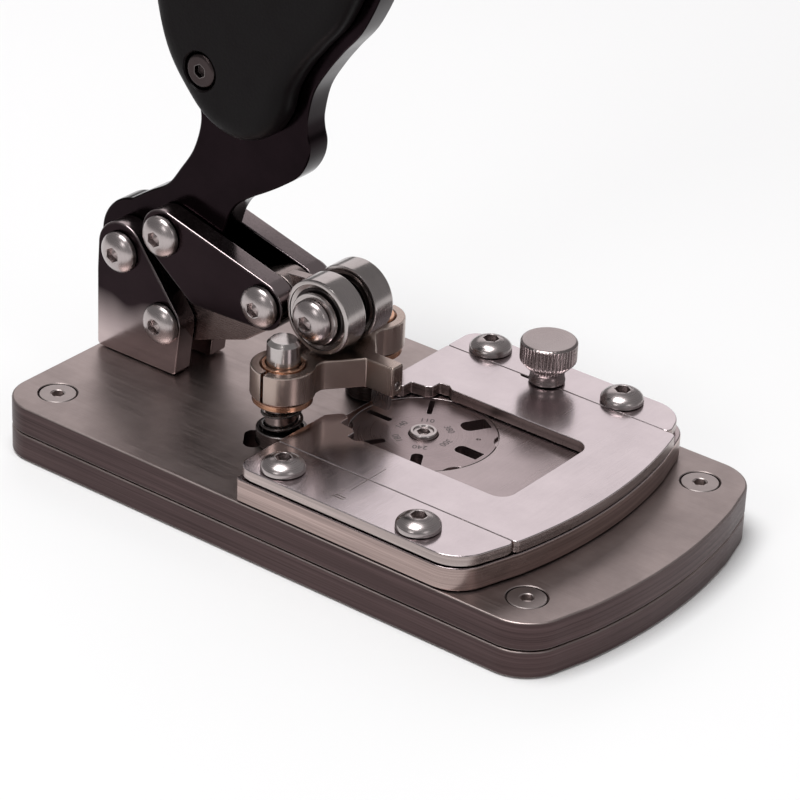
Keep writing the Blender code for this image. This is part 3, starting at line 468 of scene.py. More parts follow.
def make_object(name, bm, matrix=None):
    """Smooth-shaded object from a bmesh, placed by a matrix."""
    bmesh.ops.recalc_face_normals(bm, faces=bm.faces[:])
    mesh = bpy.data.meshes.new(name)
    bm.to_mesh(mesh)
    bm.free()
    obj = bpy.data.objects.new(name, mesh)
    bpy.context.scene.collection.objects.link(obj)
    if matrix is not None:
        obj.matrix_world = matrix
    return obj


def combine(target, other, operation="DIFFERENCE"):
    """Apply a Boolean of other to target, then remove other."""
    modifier = target.modifiers.new("boolean", "BOOLEAN")
    modifier.operation = operation
    modifier.solver = "EXACT"
    modifier.object = other
    bpy.context.view_layer.update()
    evaluated = target.evaluated_get(bpy.context.evaluated_depsgraph_get())
    mesh = bpy.data.meshes.new_from_object(evaluated)
    target.modifiers.remove(modifier)
    target.data = mesh
    bpy.data.objects.remove(other)
    return target


def cut(target, *cutters):
    for cutter in cutters:
        combine(target, cutter)
    return target


def place_on(obj, body, slot, finish=None):
    """Shade a finished piece, give it its finish and let it ride on its body."""
    mesh = obj.data
    mesh.materials.clear()
    mesh.materials.append(FINISH[finish or slot])
    mesh.shade_smooth()
    mesh.set_sharp_from_angle(angle=math.radians(SHARP_DEGREES))
    weighted = obj.modifiers.new("face_normals", "WEIGHTED_NORMAL")
    weighted.keep_sharp = True
    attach(obj, body)
    return obj


def stand_for(obj, *nodes, finish=None):
    """The piece takes the place of CAD nodes: their body, their slot, their finish."""
    place_on(obj, BODY_OF[nodes[0]], SLOT_OF[nodes[0]], finish)
    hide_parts(*nodes)
    return obj


def ease(outline, low, high, edge, steps=3):
    """Outlines and heights of a plate whose edges are rounded with a small radius."""
    levels = []
    for k in range(steps + 1):
        angle = math.pi / 2 * k / steps
        levels.append((edge * (1 - math.sin(angle)), edge * (1 - math.cos(angle))))
    rings = [(inset(outline, pull) if pull > 1e-9 else outline, low + rise)
             for pull, rise in levels]
    rings += [(shape, low + high - height) for shape, height in rings[::-1]]
    return rings


def plate(name, outline, low, high, axis="Z", edge=0.3 * MM):
    """Plate with softened edges, across Z from a plan outline or across X from a side outline."""
    levels = ease(outline, low, high, edge) if edge > 0.0 else [(outline, low), (outline, high)]
    if axis == "Z":
        rings = [[(u, v, w) for u, v in shape] for shape, w in levels]
    else:
        rings = [[(w, u, v) for u, v in shape] for shape, w in levels]
    return make_object(name, loft(rings))


def axis_matrix(place, direction=(0.0, 0.0, 1.0)):
    """Matrix that takes local +Z to a direction, at a place."""
    turn = Vector((0.0, 0.0, 1.0)).rotation_difference(Vector(direction)).to_matrix().to_4x4()
    return Matrix.Translation(Vector(place)) @ turn


def over(at):
    """Matrix of an upright piece over a plan point."""
    return axis_matrix((at[0], at[1], 0.0))


def turned(name, profile, matrix, segments=64):
    """Solid of revolution about local Z. A profile that starts and ends at radius 0 is solid."""
    bm = bmesh.new()
    solid = profile[0][0] == 0.0
    columns = []
    for i in range(segments):
        angle = 2 * math.pi * (i + 0.5) / segments
        columns.append([bm.verts.new((r * math.cos(angle), r * math.sin(angle), h))
                        for r, h in profile if r > 0.0])
    inner = len(columns[0])
    for i in range(segments):
        a = columns[i]
        b = columns[(i + 1) % segments]
        for k in range(inner - 1):
            bm.faces.new((a[k], b[k], b[k + 1], a[k + 1]))
        if not solid:
            bm.faces.new((a[inner - 1], b[inner - 1], b[0], a[0]))
    if solid:
        bm.faces.new([c[0] for c in columns][::-1])
        bm.faces.new([c[-1] for c in columns])
    return make_object(name, bm, matrix)


def bore(matrix, profile, segments=64):
    """Cutter for a round hole, (radius, height) pairs along local Z."""
    closed = [(0.0, profile[0][1])] + profile + [(0.0, profile[-1][1])]
    return turned("cutter", closed, matrix, segments)


def soft_bore(matrix, radius, floor, mouth, edge=0.25 * MM, segments=64):
    """Cutter for a round hole whose mouth is chamfered."""
    return bore(matrix, [(radius, floor), (radius, mouth - edge), (radius + edge, mouth),
                         (radius + edge, mouth + MM)], segments)


def hexagon(across_flats, turn=0.0):
    return arc((0.0, 0.0), across_flats / math.sqrt(3), turn, turn + 300, 5)


def socket_cutter(matrix, across_flats, floor, mouth):
    """Hexagon socket with a conical drill point at its floor."""
    rings = [[(u, v, h) for u, v in hexagon(across_flats * grow)]
             for grow, h in ((0.15, floor - 0.35 * MM), (1.0, floor), (1.0, mouth + MM))]
    return make_object("cutter", loft(rings), matrix)


# ---------------------------------------------------------------- fasteners

DOME_START = 12                                # degrees up a button head's side
DOME_SWEEP = 66


def button_screw(node, direction):
    """Button-head socket screw that stands for a CAD screw; direction points out of the head."""
    low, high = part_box(node)
    out = Vector(direction)
    centre = (low + high) / 2
    reach = (high - low).dot(Vector([abs(c) for c in out]))
    top = centre + out * reach / 2
    seat = top - out * HEAD_HEIGHT
    dome = []
    for k in range(11):
        angle = math.radians(DOME_START + DOME_SWEEP * k / 10)
        r = HEAD_RADIUS * math.cos(angle) / math.cos(math.radians(DOME_START)) ** 0.5
        rise = math.sin(angle) / math.sin(math.radians(DOME_START + DOME_SWEEP))
        dome.append((min(r, HEAD_RADIUS), HEAD_HEIGHT * (0.13 + 0.87 * rise)))
    tip = HEAD_HEIGHT - reach
    profile = [(0.0, tip), (PIN_RADIUS - 0.4 * MM, tip), (PIN_RADIUS, tip + 0.4 * MM),
               (PIN_RADIUS, 0.0), (HEAD_RADIUS - 0.15 * MM, 0.0), (HEAD_RADIUS, 0.15 * MM)]
    profile += dome + [(0.0, dome[-1][1])]
    matrix = axis_matrix(seat, direction)
    screw = turned(node + "_fine", profile, matrix, 72)
    rim = bore(matrix, [(1.75 * MM, HEAD_HEIGHT - 0.18 * MM), (2.05 * MM, HEAD_HEIGHT + 0.1 * MM),
                        (2.05 * MM, HEAD_HEIGHT + MM)])
    cut(screw, socket_cutter(matrix, 3.0 * MM, 1.0 * MM, HEAD_HEIGHT), rim)
    stand_for(screw, node)


def flush_screw(node, out, head_radius, head_depth, across_flats):
    """Countersunk socket screw with its flat head in the surface; out is 1 for up, -1 for down."""
    low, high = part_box(node)
    centre = (low + high) / 2
    top = Vector((centre.x, centre.y, high.z if out > 0 else low.z))
    length = high.z - low.z
    shank = head_radius * 0.52
    profile = [(0.0, -length), (shank, -length), (shank, -head_depth), (head_radius, -0.3 * MM),
               (head_radius, -0.12 * MM), (head_radius - 0.12 * MM, 0.0), (0.0, 0.0)]
    matrix = axis_matrix(top, (0.0, 0.0, out))
    screw = turned(node + "_fine", profile, matrix, 64)
    rim = bore(matrix, [(across_flats * 0.56, -0.12 * MM), (across_flats * 0.64, 0.05 * MM),
                        (across_flats * 0.64, MM)])
    cut(screw, socket_cutter(matrix, across_flats, -1.4 * MM, 0.0), rim)
    stand_for(screw, node)


# ---------------------------------------------------------------- base

BASE_SCREW_RADIUS = 3.8 * MM
FOOT_SCREW_RADIUS = 2.9 * MM
COLUMN_HOLE_FLOOR_Z = 7.0 * MM
POCKET_ENDS = ((-18.4 * MM, 16.4 * MM), (-15.6 * MM, 18.4 * MM))   # opening beside the left column
POCKET_RADIUS = 1.9 * MM
POCKET_FLOOR_Z = 7.2 * MM


def countersink(centre, surface_z, direction, head_radius, reach):
    """Cutter for a flush screw's seat, with a fine chamfer at the surface."""
    clear_radius = head_radius + GAP
    shank_radius = head_radius * 0.52 + GAP
    matrix = axis_matrix((centre.x, centre.y, surface_z), (0.0, 0.0, direction))
    return bore(matrix, [(shank_radius, -reach), (shank_radius, -2.4 * MM),
                         (clear_radius, -0.6 * MM), (clear_radius, -0.15 * MM),
                         (clear_radius + 0.15 * MM, 0.0), (clear_radius + 0.15 * MM, MM)], 64)


def make_base():
    outline = bowed_outline("base_upper_plate", BASE_FRONT_RADIUS, 8.5 * MM, 9.5 * MM)
    for node, edge in (("base_lower_plate", 0.5 * MM), ("base_upper_plate", 0.45 * MM)):
        low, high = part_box(node)
        body = plate(node + "_fine", outline, low.z, high.z, edge=edge)
        if node == "base_upper_plate":
            for end, label in CORNERS:
                at = middle("base_screw_%s_%s" % (end, label))
                cut(body, countersink(at, high.z, 1, BASE_SCREW_RADIUS, 4.0 * MM))
            for at in COLUMN_XY.values():
                cut(body, soft_bore(over(at), COLUMN_RADIUS + GAP,
                                    COLUMN_HOLE_FLOOR_Z, high.z))
            pocket = hull_of_circles([(centre, POCKET_RADIUS) for centre in POCKET_ENDS], 48)
            cut(body, plate("cutter", pocket, POCKET_FLOOR_Z, high.z + MM, edge=0.0))
        else:
            for end, label in CORNERS:
                at = middle("foot_screw_%s_%s" % (label, end))
                cut(body, countersink(at, low.z, -1, FOOT_SCREW_RADIUS, 4.0 * MM))
        stand_for(body, node)
    for end, label in CORNERS:
        flush_screw("base_screw_%s_%s" % (end, label), 1, BASE_SCREW_RADIUS, 2.1 * MM, 2.5 * MM)
        flush_screw("foot_screw_%s_%s" % (label, end), -1, FOOT_SCREW_RADIUS, 1.7 * MM, 2.0 * MM)


# ---------------------------------------------------------------- die plate, disc, rails, fence

INDEX_LINE = (-18.58 * MM, -18.42 * MM)        # near and far edge of the line across rail and fence
RAIL_SEAM = 0.09 * MM                          # half-open joint between fence and rail
RAIL_LIP_Z = 18.0 * MM                         # the rails stand on a narrower waist below this
FENCE_TRAVEL = 4.0 * MM
RIGHT_RAIL_STEP = 1.4 * MM                     # set-back of the right rail's front edge
DISC_LEDGE_Z = DIE_TOP_Z - 0.6 * MM            # ledge under the disc's thin rim
DISC_WELL_RADIUS = 14.15 * MM
MARK_DEPTH = 0.12 * MM


def groove(x0, x1, y0, y1):
    """Cutter for a shallow engraved stroke in the rails' top face."""
    outline = [(x0, y0), (x1, y0), (x1, y1), (x0, y1)]
    return plate("cutter", outline, RAIL_TOP_Z - MARK_DEPTH, RAIL_TOP_Z + MM, edge=0.0)


def make_die_plate():
    low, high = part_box("die_plate")
    outline = bowed_outline("die_plate", DIE_FRONT_RADIUS, 1.0 * MM, 8.0 * MM)
    body = plate("die_plate_fine", outline, low.z, high.z, edge=0.3 * MM)
    pocket_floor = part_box("index_disc")[0].z - GAP
    disc_place = over(DISC_XY)
    cut(body, soft_bore(disc_place, DISC_RADIUS + 0.15 * MM, DISC_LEDGE_Z, high.z, 0.08 * MM, 160),
        bore(disc_place, [(DISC_WELL_RADIUS, pocket_floor), (DISC_WELL_RADIUS, high.z)], 160),
        bore(disc_place, [(DIE_HOLE, low.z - MM), (DIE_HOLE, high.z)]))
    for at in (middle("detent_plunger"), Vector(THUMB_XY)):
        cut(body, bore(over(at),
                       [(DIE_HOLE, low.z - MM), (DIE_HOLE, high.z + MM)]))
    drop = rounded([(-2.5 * MM, -6.0 * MM, MM), (2.5 * MM, -6.0 * MM, MM),
                    (2.5 * MM, 2.0 * MM, MM), (-2.5 * MM, 2.0 * MM, MM)])
    cut(body, plate("cutter", drop, 11.0 * MM, 15.0 * MM, edge=0.0))   # room under the slots
    stand_for(body, "die_plate")


def slot_outline(width, inner_r, outer_r, degrees):
    """Plan outline of one radial slot about the disc's centre: round inside, square outside."""
    half = width / 2
    turn = Matrix.Rotation(math.radians(degrees), 2)
    shape = rounded([(outer_r, -half, 0.22 * MM), (outer_r, half, 0.22 * MM),
                     (inner_r, half, half * 0.85), (inner_r, -half, half * 0.85)], 12.0)
    return [tuple(turn @ Vector(q)) for q in shape]


def about_disc(radius, degrees):
    """Plan point at a radius and an angle about the disc's centre."""
    angle = math.radians(degrees)
    return DISC_XY.x + radius * math.cos(angle), DISC_XY.y + radius * math.sin(angle)


def number_piece(text, radius, degrees, size, top):
    """A small upright number, filled with black, that stands just proud of the disc."""
    curve = bpy.data.curves.new("number_" + text, "FONT")
    curve.body = text
    curve.size = size
    curve.align_x = "CENTER"
    curve.align_y = "CENTER"
    curve.extrude = 0.03 * MM
    curve.resolution_u = 3
    temporary = bpy.data.objects.new("number_" + text, curve)
    bpy.context.scene.collection.objects.link(temporary)
    bpy.context.view_layer.update()
    mesh = bpy.data.meshes.new_from_object(temporary.evaluated_get(
        bpy.context.evaluated_depsgraph_get()))
    bpy.data.objects.remove(temporary)
    obj = bpy.data.objects.new("disc_number_" + text, mesh)
    bpy.context.scene.collection.objects.link(obj)
    angle = math.radians(degrees)
    spot = (*about_disc(radius, degrees), top - 0.018 * MM)
    obj.matrix_world = Matrix.Translation(spot) @ Matrix.Rotation(angle - math.pi / 2, 4, "Z")
    place_on(obj, "disc", "disc_steel", "engraving")


def make_disc():
    low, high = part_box("index_disc")
    matrix = over(DISC_XY)
    r = DISC_RADIUS
    hub = DISC_WELL_RADIUS - 0.1 * MM
    rim_low = DISC_LEDGE_Z + 0.1 * MM
    profile = [(0.0, low.z), (hub, low.z), (hub, rim_low), (r, rim_low),
               (r, high.z - 0.1 * MM), (r - 0.1 * MM, high.z), (0.0, high.z)]
    disc = turned("index_disc_fine", profile, matrix, 160)
    cut(disc, bore(matrix, [(DIE_HOLE, low.z - MM), (DIE_HOLE, 16.0 * MM)]),
        soft_bore(matrix, 3.0 * MM, 15.9 * MM, high.z, 0.12 * MM))
    for k in range(6):
        scallop = axis_matrix((*about_disc(r + 2.6 * MM, 60 * k), 0.0))
        cut(disc, soft_bore(scallop, 3.4 * MM, DISC_LEDGE_Z - 0.2 * MM, high.z, 0.08 * MM, 96))
    for degrees, width in SLOT_WIDTHS.items():
        shape = slot_outline(width * MM, 8.2 * MM, 14.0 * MM, degrees)
        cutter = make_object("cutter", loft([[(u, v, h) for u, v in shape]
                                             for h in (low.z - MM, high.z + MM)]), matrix)
        cut(disc, cutter)
        number_piece("%d" % round(width * 100), 5.5 * MM, degrees, 2.05 * MM, high.z)
    dot = [(0.1 * MM, high.z - 0.5 * MM), (0.5 * MM, high.z), (0.5 * MM, high.z + MM)]
    cut(disc, bore(axis_matrix((*about_disc(11.0 * MM, 300), 0.0)), dot, 24))
    stand_for(disc, "index_disc")

    low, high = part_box("disc_screw")
    profile = [(0.0, low.z), (1.5 * MM, low.z), (1.5 * MM, 16.2 * MM), (2.8 * MM, 16.2 * MM),
               (2.8 * MM, high.z - 0.3 * MM), (2.7 * MM, high.z - 0.1 * MM), (2.6 * MM, high.z),
               (0.0, high.z)]
    screw = turned("disc_screw_fine", profile, matrix, 72)
    cut(screw, bore(matrix, [(1.9 * MM, high.z - 0.3 * MM), (2.1 * MM, high.z),
                             (2.1 * MM, high.z + MM)]),
        socket_cutter(matrix, 2.5 * MM, 16.6 * MM, high.z))
    stand_for(screw, "disc_screw")

    low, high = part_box("detent_plunger")
    at = middle("detent_plunger")
    ball = [(0.0, low.z), (1.5 * MM, low.z), (1.5 * MM, 12.9 * MM)]
    for angle in (20, 40, 60, 80):
        ball.append((1.5 * MM * math.cos(math.radians(angle)),
                     12.9 * MM + 0.7 * MM * math.sin(math.radians(angle))))
    ball.append((0.0, 13.6 * MM))
    plunger = turned("detent_plunger_fine", ball, over(at), 32)
    stand_for(plunger, "detent_plunger")


def make_rails():
    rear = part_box("left_rail")[1].y
    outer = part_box("right_rail")[1].x
    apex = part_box("sliding_fence")[0].y
    for side, label, inner, step in ((-1, "left", RAIL_SEAM - FENCE_LEFT_X, 0.0),
                                     (1, "right", RAIL_SEAM + FENCE_RIGHT_X, RIGHT_RAIL_STEP)):
        corners = [(side * inner, rear, 0.6 * MM), (side * outer, rear, 3.5 * MM)]
        for x, radius in ((outer, 8.0 * MM), (inner + 2.0 * MM, 0.0), (inner, 1.2 * MM)):
            corners.append((side * x, bow_y(apex, DIE_FRONT_RADIUS, x) + step, radius))
        outline = rounded(corners)
        waist = inset(outline, 0.5 * MM)
        low = DIE_TOP_Z + GAP
        lip = RAIL_LIP_Z + 0.05 * MM
        rings = [(waist, low), (waist, RAIL_LIP_Z), (outline, lip)]
        rings += [(shape, h) for shape, h in ease(outline, lip, RAIL_TOP_Z, 0.22 * MM)
                  if h > RAIL_LIP_Z + MM]
        rail = make_object(label + "_rail_fine", loft([[(u, v, h) for u, v in shape]
                                                       for shape, h in rings]))
        for end in ENDS:
            at = middle("rail_screw_%s_%s" % (label, end))
            cut(rail, soft_bore(over(at), 2.8 * MM, low - MM, RAIL_TOP_Z))
        if side > 0:
            cut(rail, soft_bore(over(THUMB_XY), DIE_HOLE, low - MM, RAIL_TOP_Z))
        else:
            cut(rail, groove(-31.0 * MM, -inner + MM, *INDEX_LINE))
            for x in (-34.9 * MM, -34.2 * MM):
                cut(rail, groove(x, x + 0.35 * MM, -19.8 * MM, -17.2 * MM))
        stand_for(rail, label + "_rail")
        for end in ENDS:
            button_screw("rail_screw_%s_%s" % (label, end), (0, 0, 1))


def make_fence():
    low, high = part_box("sliding_fence")
    teeth = [(8.2, 1.9), (8.3, 0.7), (9.0, -0.2), (11.4, -0.3), (11.8, -3.6), (12.7, -4.8),
             (14.9, -4.9), (15.2, -7.0)]       # steps at the window's rear corner, millimetres
    right = [(FENCE_RIGHT_X, high.y, 0.6 * MM), (11.0 * MM, high.y, 0.8 * MM)]
    right += [(x * MM, y * MM, 0.3 * MM) for x, y in teeth]
    right += [(14.2 * MM, -8.4 * MM, 0.5 * MM), (14.2 * MM, -42.6 * MM, 3.2 * MM)]
    left = [(-x, y, r) for x, y, r in right[:0:-1]] + [(FENCE_LEFT_X, high.y, 0.6 * MM)]
    corners = right + left
    for i in range(21):
        x = FENCE_LEFT_X + (FENCE_RIGHT_X - FENCE_LEFT_X) * i / 20
        corners.append((x, bow_y(low.y, DIE_FRONT_RADIUS, x), 1.3 * MM if i in (0, 20) else 0.0))
    fence = plate("sliding_fence_fine", rounded(corners, 12.0), low.z, high.z, edge=0.2 * MM)
    reach = 1.8 * MM
    x0, x1 = THUMB_XY.x - reach, THUMB_XY.x - reach + 6 * MM
    y0, y1 = THUMB_XY.y - reach, THUMB_XY.y + FENCE_TRAVEL + reach
    relief = rounded([(x0, y0, MM), (x1, y0, 0.0), (x1, y1, 0.0), (x0, y1, MM)])
    cut(fence, plate("cutter", relief, 16.0 * MM, 22.0 * MM, edge=0.0),
        groove(FENCE_LEFT_X - MM, -20.0 * MM, *INDEX_LINE))
    stand_for(fence, "sliding_fence")


def make_thumb_screw():
    """Thumb screw with straight flutes that run out down a taper to a smooth neck."""
    flutes = 44
    pattern = (0.0, 0.0, 0.08, 0.24, 0.24, 0.08)           # depth in mm round one flute
    rim = 5.85
    base_z = 20.3
    stations = [(1.5, 13.5, 0), (1.5, base_z, 0), (3.6, base_z, 0), (3.75, base_z + 0.15, 0),
                (3.75, base_z + 0.5, 0), (3.6, base_z + 0.9, 0), (3.55, 22.1, 0), (3.65, 22.6, 0),
                (3.85, 22.9, 0), (3.95, 23.1, 0.3), (4.3, 23.4, 1), (5.75, 25.0, 1), (rim, 25.3, 1),
                (rim, 28.9, 1), (rim, 29.1, 0.3), (5.55, 29.42, 0), (5.35, 29.5, 0),
                (4.9, 29.47, 0), (2.5, 29.38, 0), (0.5, 29.32, 0)]
    rings = []
    steps = flutes * len(pattern)
    for radius, height, share in stations:
        ring = []
        for i in range(steps):
            r = (radius - share * pattern[i % len(pattern)]) * MM
            angle = 2 * math.pi * i / steps
            ring.append((r * math.cos(angle), r * math.sin(angle), height * MM))
        rings.append(ring)
    screw = make_object("thumb_screw_fine", loft(rings), over(THUMB_XY))
    stand_for(screw, "thumb_screw")


# ---------------------------------------------------------------- columns, springs, bridge

CUP_BORE = 4.4 * MM
SPRING_RADIUS = 3.97 * MM
WIRE_RADIUS = 0.33 * MM
SPRING_TURNS = 4.0
UNDER_BRIDGE_Z = 20.0 * MM                     # cutters through the bridge start here


def spring_mesh(mean_radius, wire_radius, low, high, turns):
    """Compression spring with closed end turns, round wire."""
    steps = round(turns * 48)
    sides = 14
    rings = []
    for i in range(steps + 1):
        t = i / steps
        angle = 2 * math.pi * turns * t
        rise = min(max((t * turns - 0.7) / (turns - 1.4), 0.0), 1.0)
        wind = wire_radius * 1.2 * (min(t * turns, 0.7) - max(0.0, t * turns - turns + 0.7))
        height = low + wire_radius + wind + rise * (high - low - 2 * wire_radius)
        ring = []
        for k in range(sides):
            a = 2 * math.pi * k / sides
            out = mean_radius + wire_radius * math.cos(a)
            ring.append((math.cos(angle) * out, math.sin(angle) * out,
                         height + wire_radius * math.sin(a)))
        rings.append(ring)
    return loft(rings)


def make_guides():
    for side, label in SIDES:
        at = COLUMN_XY[side]
        matrix = over(at)
        low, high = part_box(label + "_guide_column")
        r = COLUMN_RADIUS
        profile = [(0.0, low.z), (r - 0.5 * MM, low.z), (r, low.z + 0.5 * MM),
                   (r, high.z - 0.85 * MM), (r - 0.8 * MM, high.z), (0.0, high.z)]
        column = turned(label + "_guide_column_fine", profile, matrix, 72)
        stand_for(column, label + "_guide_column")

        low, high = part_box(label + "_spring_cup")
        bottom = low.z + MM
        lip = high.z - 0.7 * MM
        cup = [(r + 0.15 * MM, low.z), (5.0 * MM, low.z), (5.2 * MM, low.z + 0.2 * MM),
               (5.2 * MM, lip - 0.15 * MM), (5.05 * MM, lip), (4.5 * MM, lip),
               (CUP_BORE, lip - 0.1 * MM), (CUP_BORE, bottom), (r + 0.15 * MM, bottom)]
        stand_for(turned(label + "_spring_cup_fine", cup, matrix, 72), label + "_spring_cup",
                  finish="cup_steel")

        low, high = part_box(label + "_return_spring")
        coil = spring_mesh(SPRING_RADIUS, WIRE_RADIUS, low.z, high.z, SPRING_TURNS)
        spring = make_object(label + "_return_spring_fine", coil, matrix)
        stand_for(spring, label + "_return_spring")
        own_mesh(spring)

        low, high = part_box(label + "_guide_bush")
        flange = BRIDGE_LOW_Z - GAP
        bush = [(r + 0.12 * MM, low.z), (5.95 * MM, low.z), (6.1 * MM, low.z + 0.15 * MM),
                (6.1 * MM, flange - 0.15 * MM), (5.95 * MM, flange), (SLEEVE_RADIUS, flange),
                (SLEEVE_RADIUS, high.z - 0.2 * MM), (4.25 * MM, high.z), (r + 0.3 * MM, high.z),
                (r + 0.12 * MM, high.z - 0.2 * MM)]
        stand_for(turned(label + "_guide_bush_fine", bush, matrix, 72), label + "_guide_bush")


def make_bridge():
    """Cross-head: two split bosses joined by a bar with a forward nose that holds the punch."""
    column_x, column_y = COLUMN_XY[1]
    nose_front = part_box("punch_bridge")[0].y
    half = [(column_x, 17.0 * MM, 0.5 * MM), (column_x, 6.6 * MM, 0.5 * MM),
            (8.6 * MM, 7.0 * MM, 2.0 * MM), (1.7 * MM, 1.4 * MM, 0.6 * MM),
            (1.7 * MM, nose_front, 0.5 * MM)]
    corners = half + [(-x, y, r) for x, y, r in half[::-1]]
    bridge = plate("punch_bridge_fine", rounded(corners), BRIDGE_LOW_Z, BRIDGE_TOP_Z,
                   edge=0.35 * MM)
    for side, _ in SIDES:
        matrix = axis_matrix((side * column_x, column_y, 0.0))
        low = BRIDGE_LOW_Z + 0.01 * MM
        top = BRIDGE_TOP_Z + 0.01 * MM
        rim = 6.6 * MM
        boss = [(0.0, low), (rim - 0.4 * MM, low), (rim - 0.12 * MM, low + 0.12 * MM),
                (rim, low + 0.4 * MM), (rim, top - 0.4 * MM), (rim - 0.12 * MM, top - 0.12 * MM),
                (rim - 0.4 * MM, top), (0.0, top)]
        combine(bridge, turned("cutter", boss, matrix, 96), "UNION")
        slit_x = sorted((side * (column_x + 3.0 * MM), side * (column_x + 9.0 * MM)))
        slit = [(slit_x[0], column_y - 0.4 * MM), (slit_x[1], column_y - 0.4 * MM),
                (slit_x[1], column_y + 0.4 * MM), (slit_x[0], column_y + 0.4 * MM)]
        cut(bridge, soft_bore(matrix, SLEEVE_RADIUS + 0.12 * MM, UNDER_BRIDGE_Z, top, 0.3 * MM, 96),
            plate("cutter", slit, UNDER_BRIDGE_Z, 34.0 * MM, edge=0.0))
    low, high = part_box("punch_blade")
    spare = 0.1 * MM
    pocket = [(low.x - spare, low.y - spare), (high.x + spare, low.y - spare),
              (high.x + spare, high.y + spare), (low.x - spare, high.y + spare)]
    cut(bridge, plate("cutter", pocket, UNDER_BRIDGE_Z, high.z + GAP, edge=0.0))
    screw_at = middle("punch_set_screw")
    front = axis_matrix((0.0, nose_front, screw_at.z), (0.0, -1.0, 0.0))
    cut(bridge, bore(front, [(0.9 * MM, -1.2 * MM), (0.9 * MM, -0.15 * MM), (1.05 * MM, 0.0),
                             (1.05 * MM, MM)]))
    stand_for(bridge, "punch_bridge")

    blade_side = [(low.y, high.z), (low.y, low.z + 1.2 * MM), (low.y + 0.5 * MM, low.z),
                  (high.y - 0.5 * MM, low.z), (high.y, low.z + 1.2 * MM), (high.y, high.z)]
    stand_for(plate("punch_blade_fine", blade_side, low.x, high.x, "X", 0.06 * MM), "punch_blade")
    stub = [(0.0, -0.8 * MM), (0.8 * MM, -0.8 * MM), (0.8 * MM, -0.2 * MM),
            (0.7 * MM, -0.1 * MM), (0.0, -0.1 * MM)]
    head = turned("punch_set_screw_fine", stub, front, 40)
    cut(head, socket_cutter(front, 0.8 * MM, -0.55 * MM, -0.1 * MM))
    stand_for(head, "punch_set_screw", finish="screw_steel")


# ---------------------------------------------------------------- linkage

def side_bore(at, radius):
    """Cutter for a round hole across X at a side-view point, through a plate of any thickness."""
    return bore(axis_matrix((0.0, at[0], at[1]), (1.0, 0.0, 0.0)),
                [(radius, -20.0 * MM), (radius, 20.0 * MM)])


def make_linkage():
    foot = BASE_TOP_Z + 1.3 * MM
    upright = hull_of_circles([(HANDLE_PIVOT, 6.3 * MM), (ARM_PIVOT, 4.8 * MM),
                               ((47.0 * MM, foot), MM), ((66.6 * MM, foot), MM),
                               ((66.6 * MM, 30.0 * MM), MM)], 72)
    link = hull_of_circles([(LINK_TOP, 5.5 * MM), (LINK_LOW, 5.4 * MM),
                            ((40.8 * MM, 33.4 * MM), 3.2 * MM)], 90)
    for side, label in SIDES:
        low, high = sorted((side * CHEEK_INNER, side * CHEEK_OUTER))
        body = plate(label + "_upright_fine", upright, low, high, "X", 0.35 * MM)
        cut(body, side_bore(HANDLE_PIVOT, PIVOT_HOLE), side_bore(ARM_PIVOT, PIVOT_HOLE))
        stand_for(body, label + "_upright")
        body = plate(label + "_link_fine", link, low, high, "X", 0.35 * MM)
        cut(body, side_bore(LINK_TOP, OPEN_PIVOT_HOLE), side_bore(LINK_LOW, PIVOT_HOLE))
        stand_for(body, label + "_link")

    lever = hull_of_circles([(ARM_PIVOT, 5.6 * MM), (LINK_LOW, 5.2 * MM),
                             ((33.0 * MM, 26.5 * MM), 3.0 * MM)], 72)
    nose = hull_of_circles([(LINK_LOW, 5.0 * MM), (ROLLER_AXIS, 4.6 * MM)], 72)
    arm = plate("press_arm_fine", lever, -CORE_HALF, CORE_HALF, "X", 0.3 * MM)
    combine(arm, plate("cutter", nose, -1.2 * MM, 1.2 * MM, "X", 0.2 * MM), "UNION")
    for at in (ARM_PIVOT, LINK_LOW, ROLLER_AXIS):
        cut(arm, side_bore(at, PIVOT_HOLE))
    stand_for(arm, "press_arm", finish="arm_steel")
    for pivot in ("handle_pivot", "arm_pivot", "link_top", "link_low", "roller"):
        button_screw(pivot + "_bolt", (-1, 0, 0))
        button_screw(pivot + "_end_screw", (1, 0, 0))


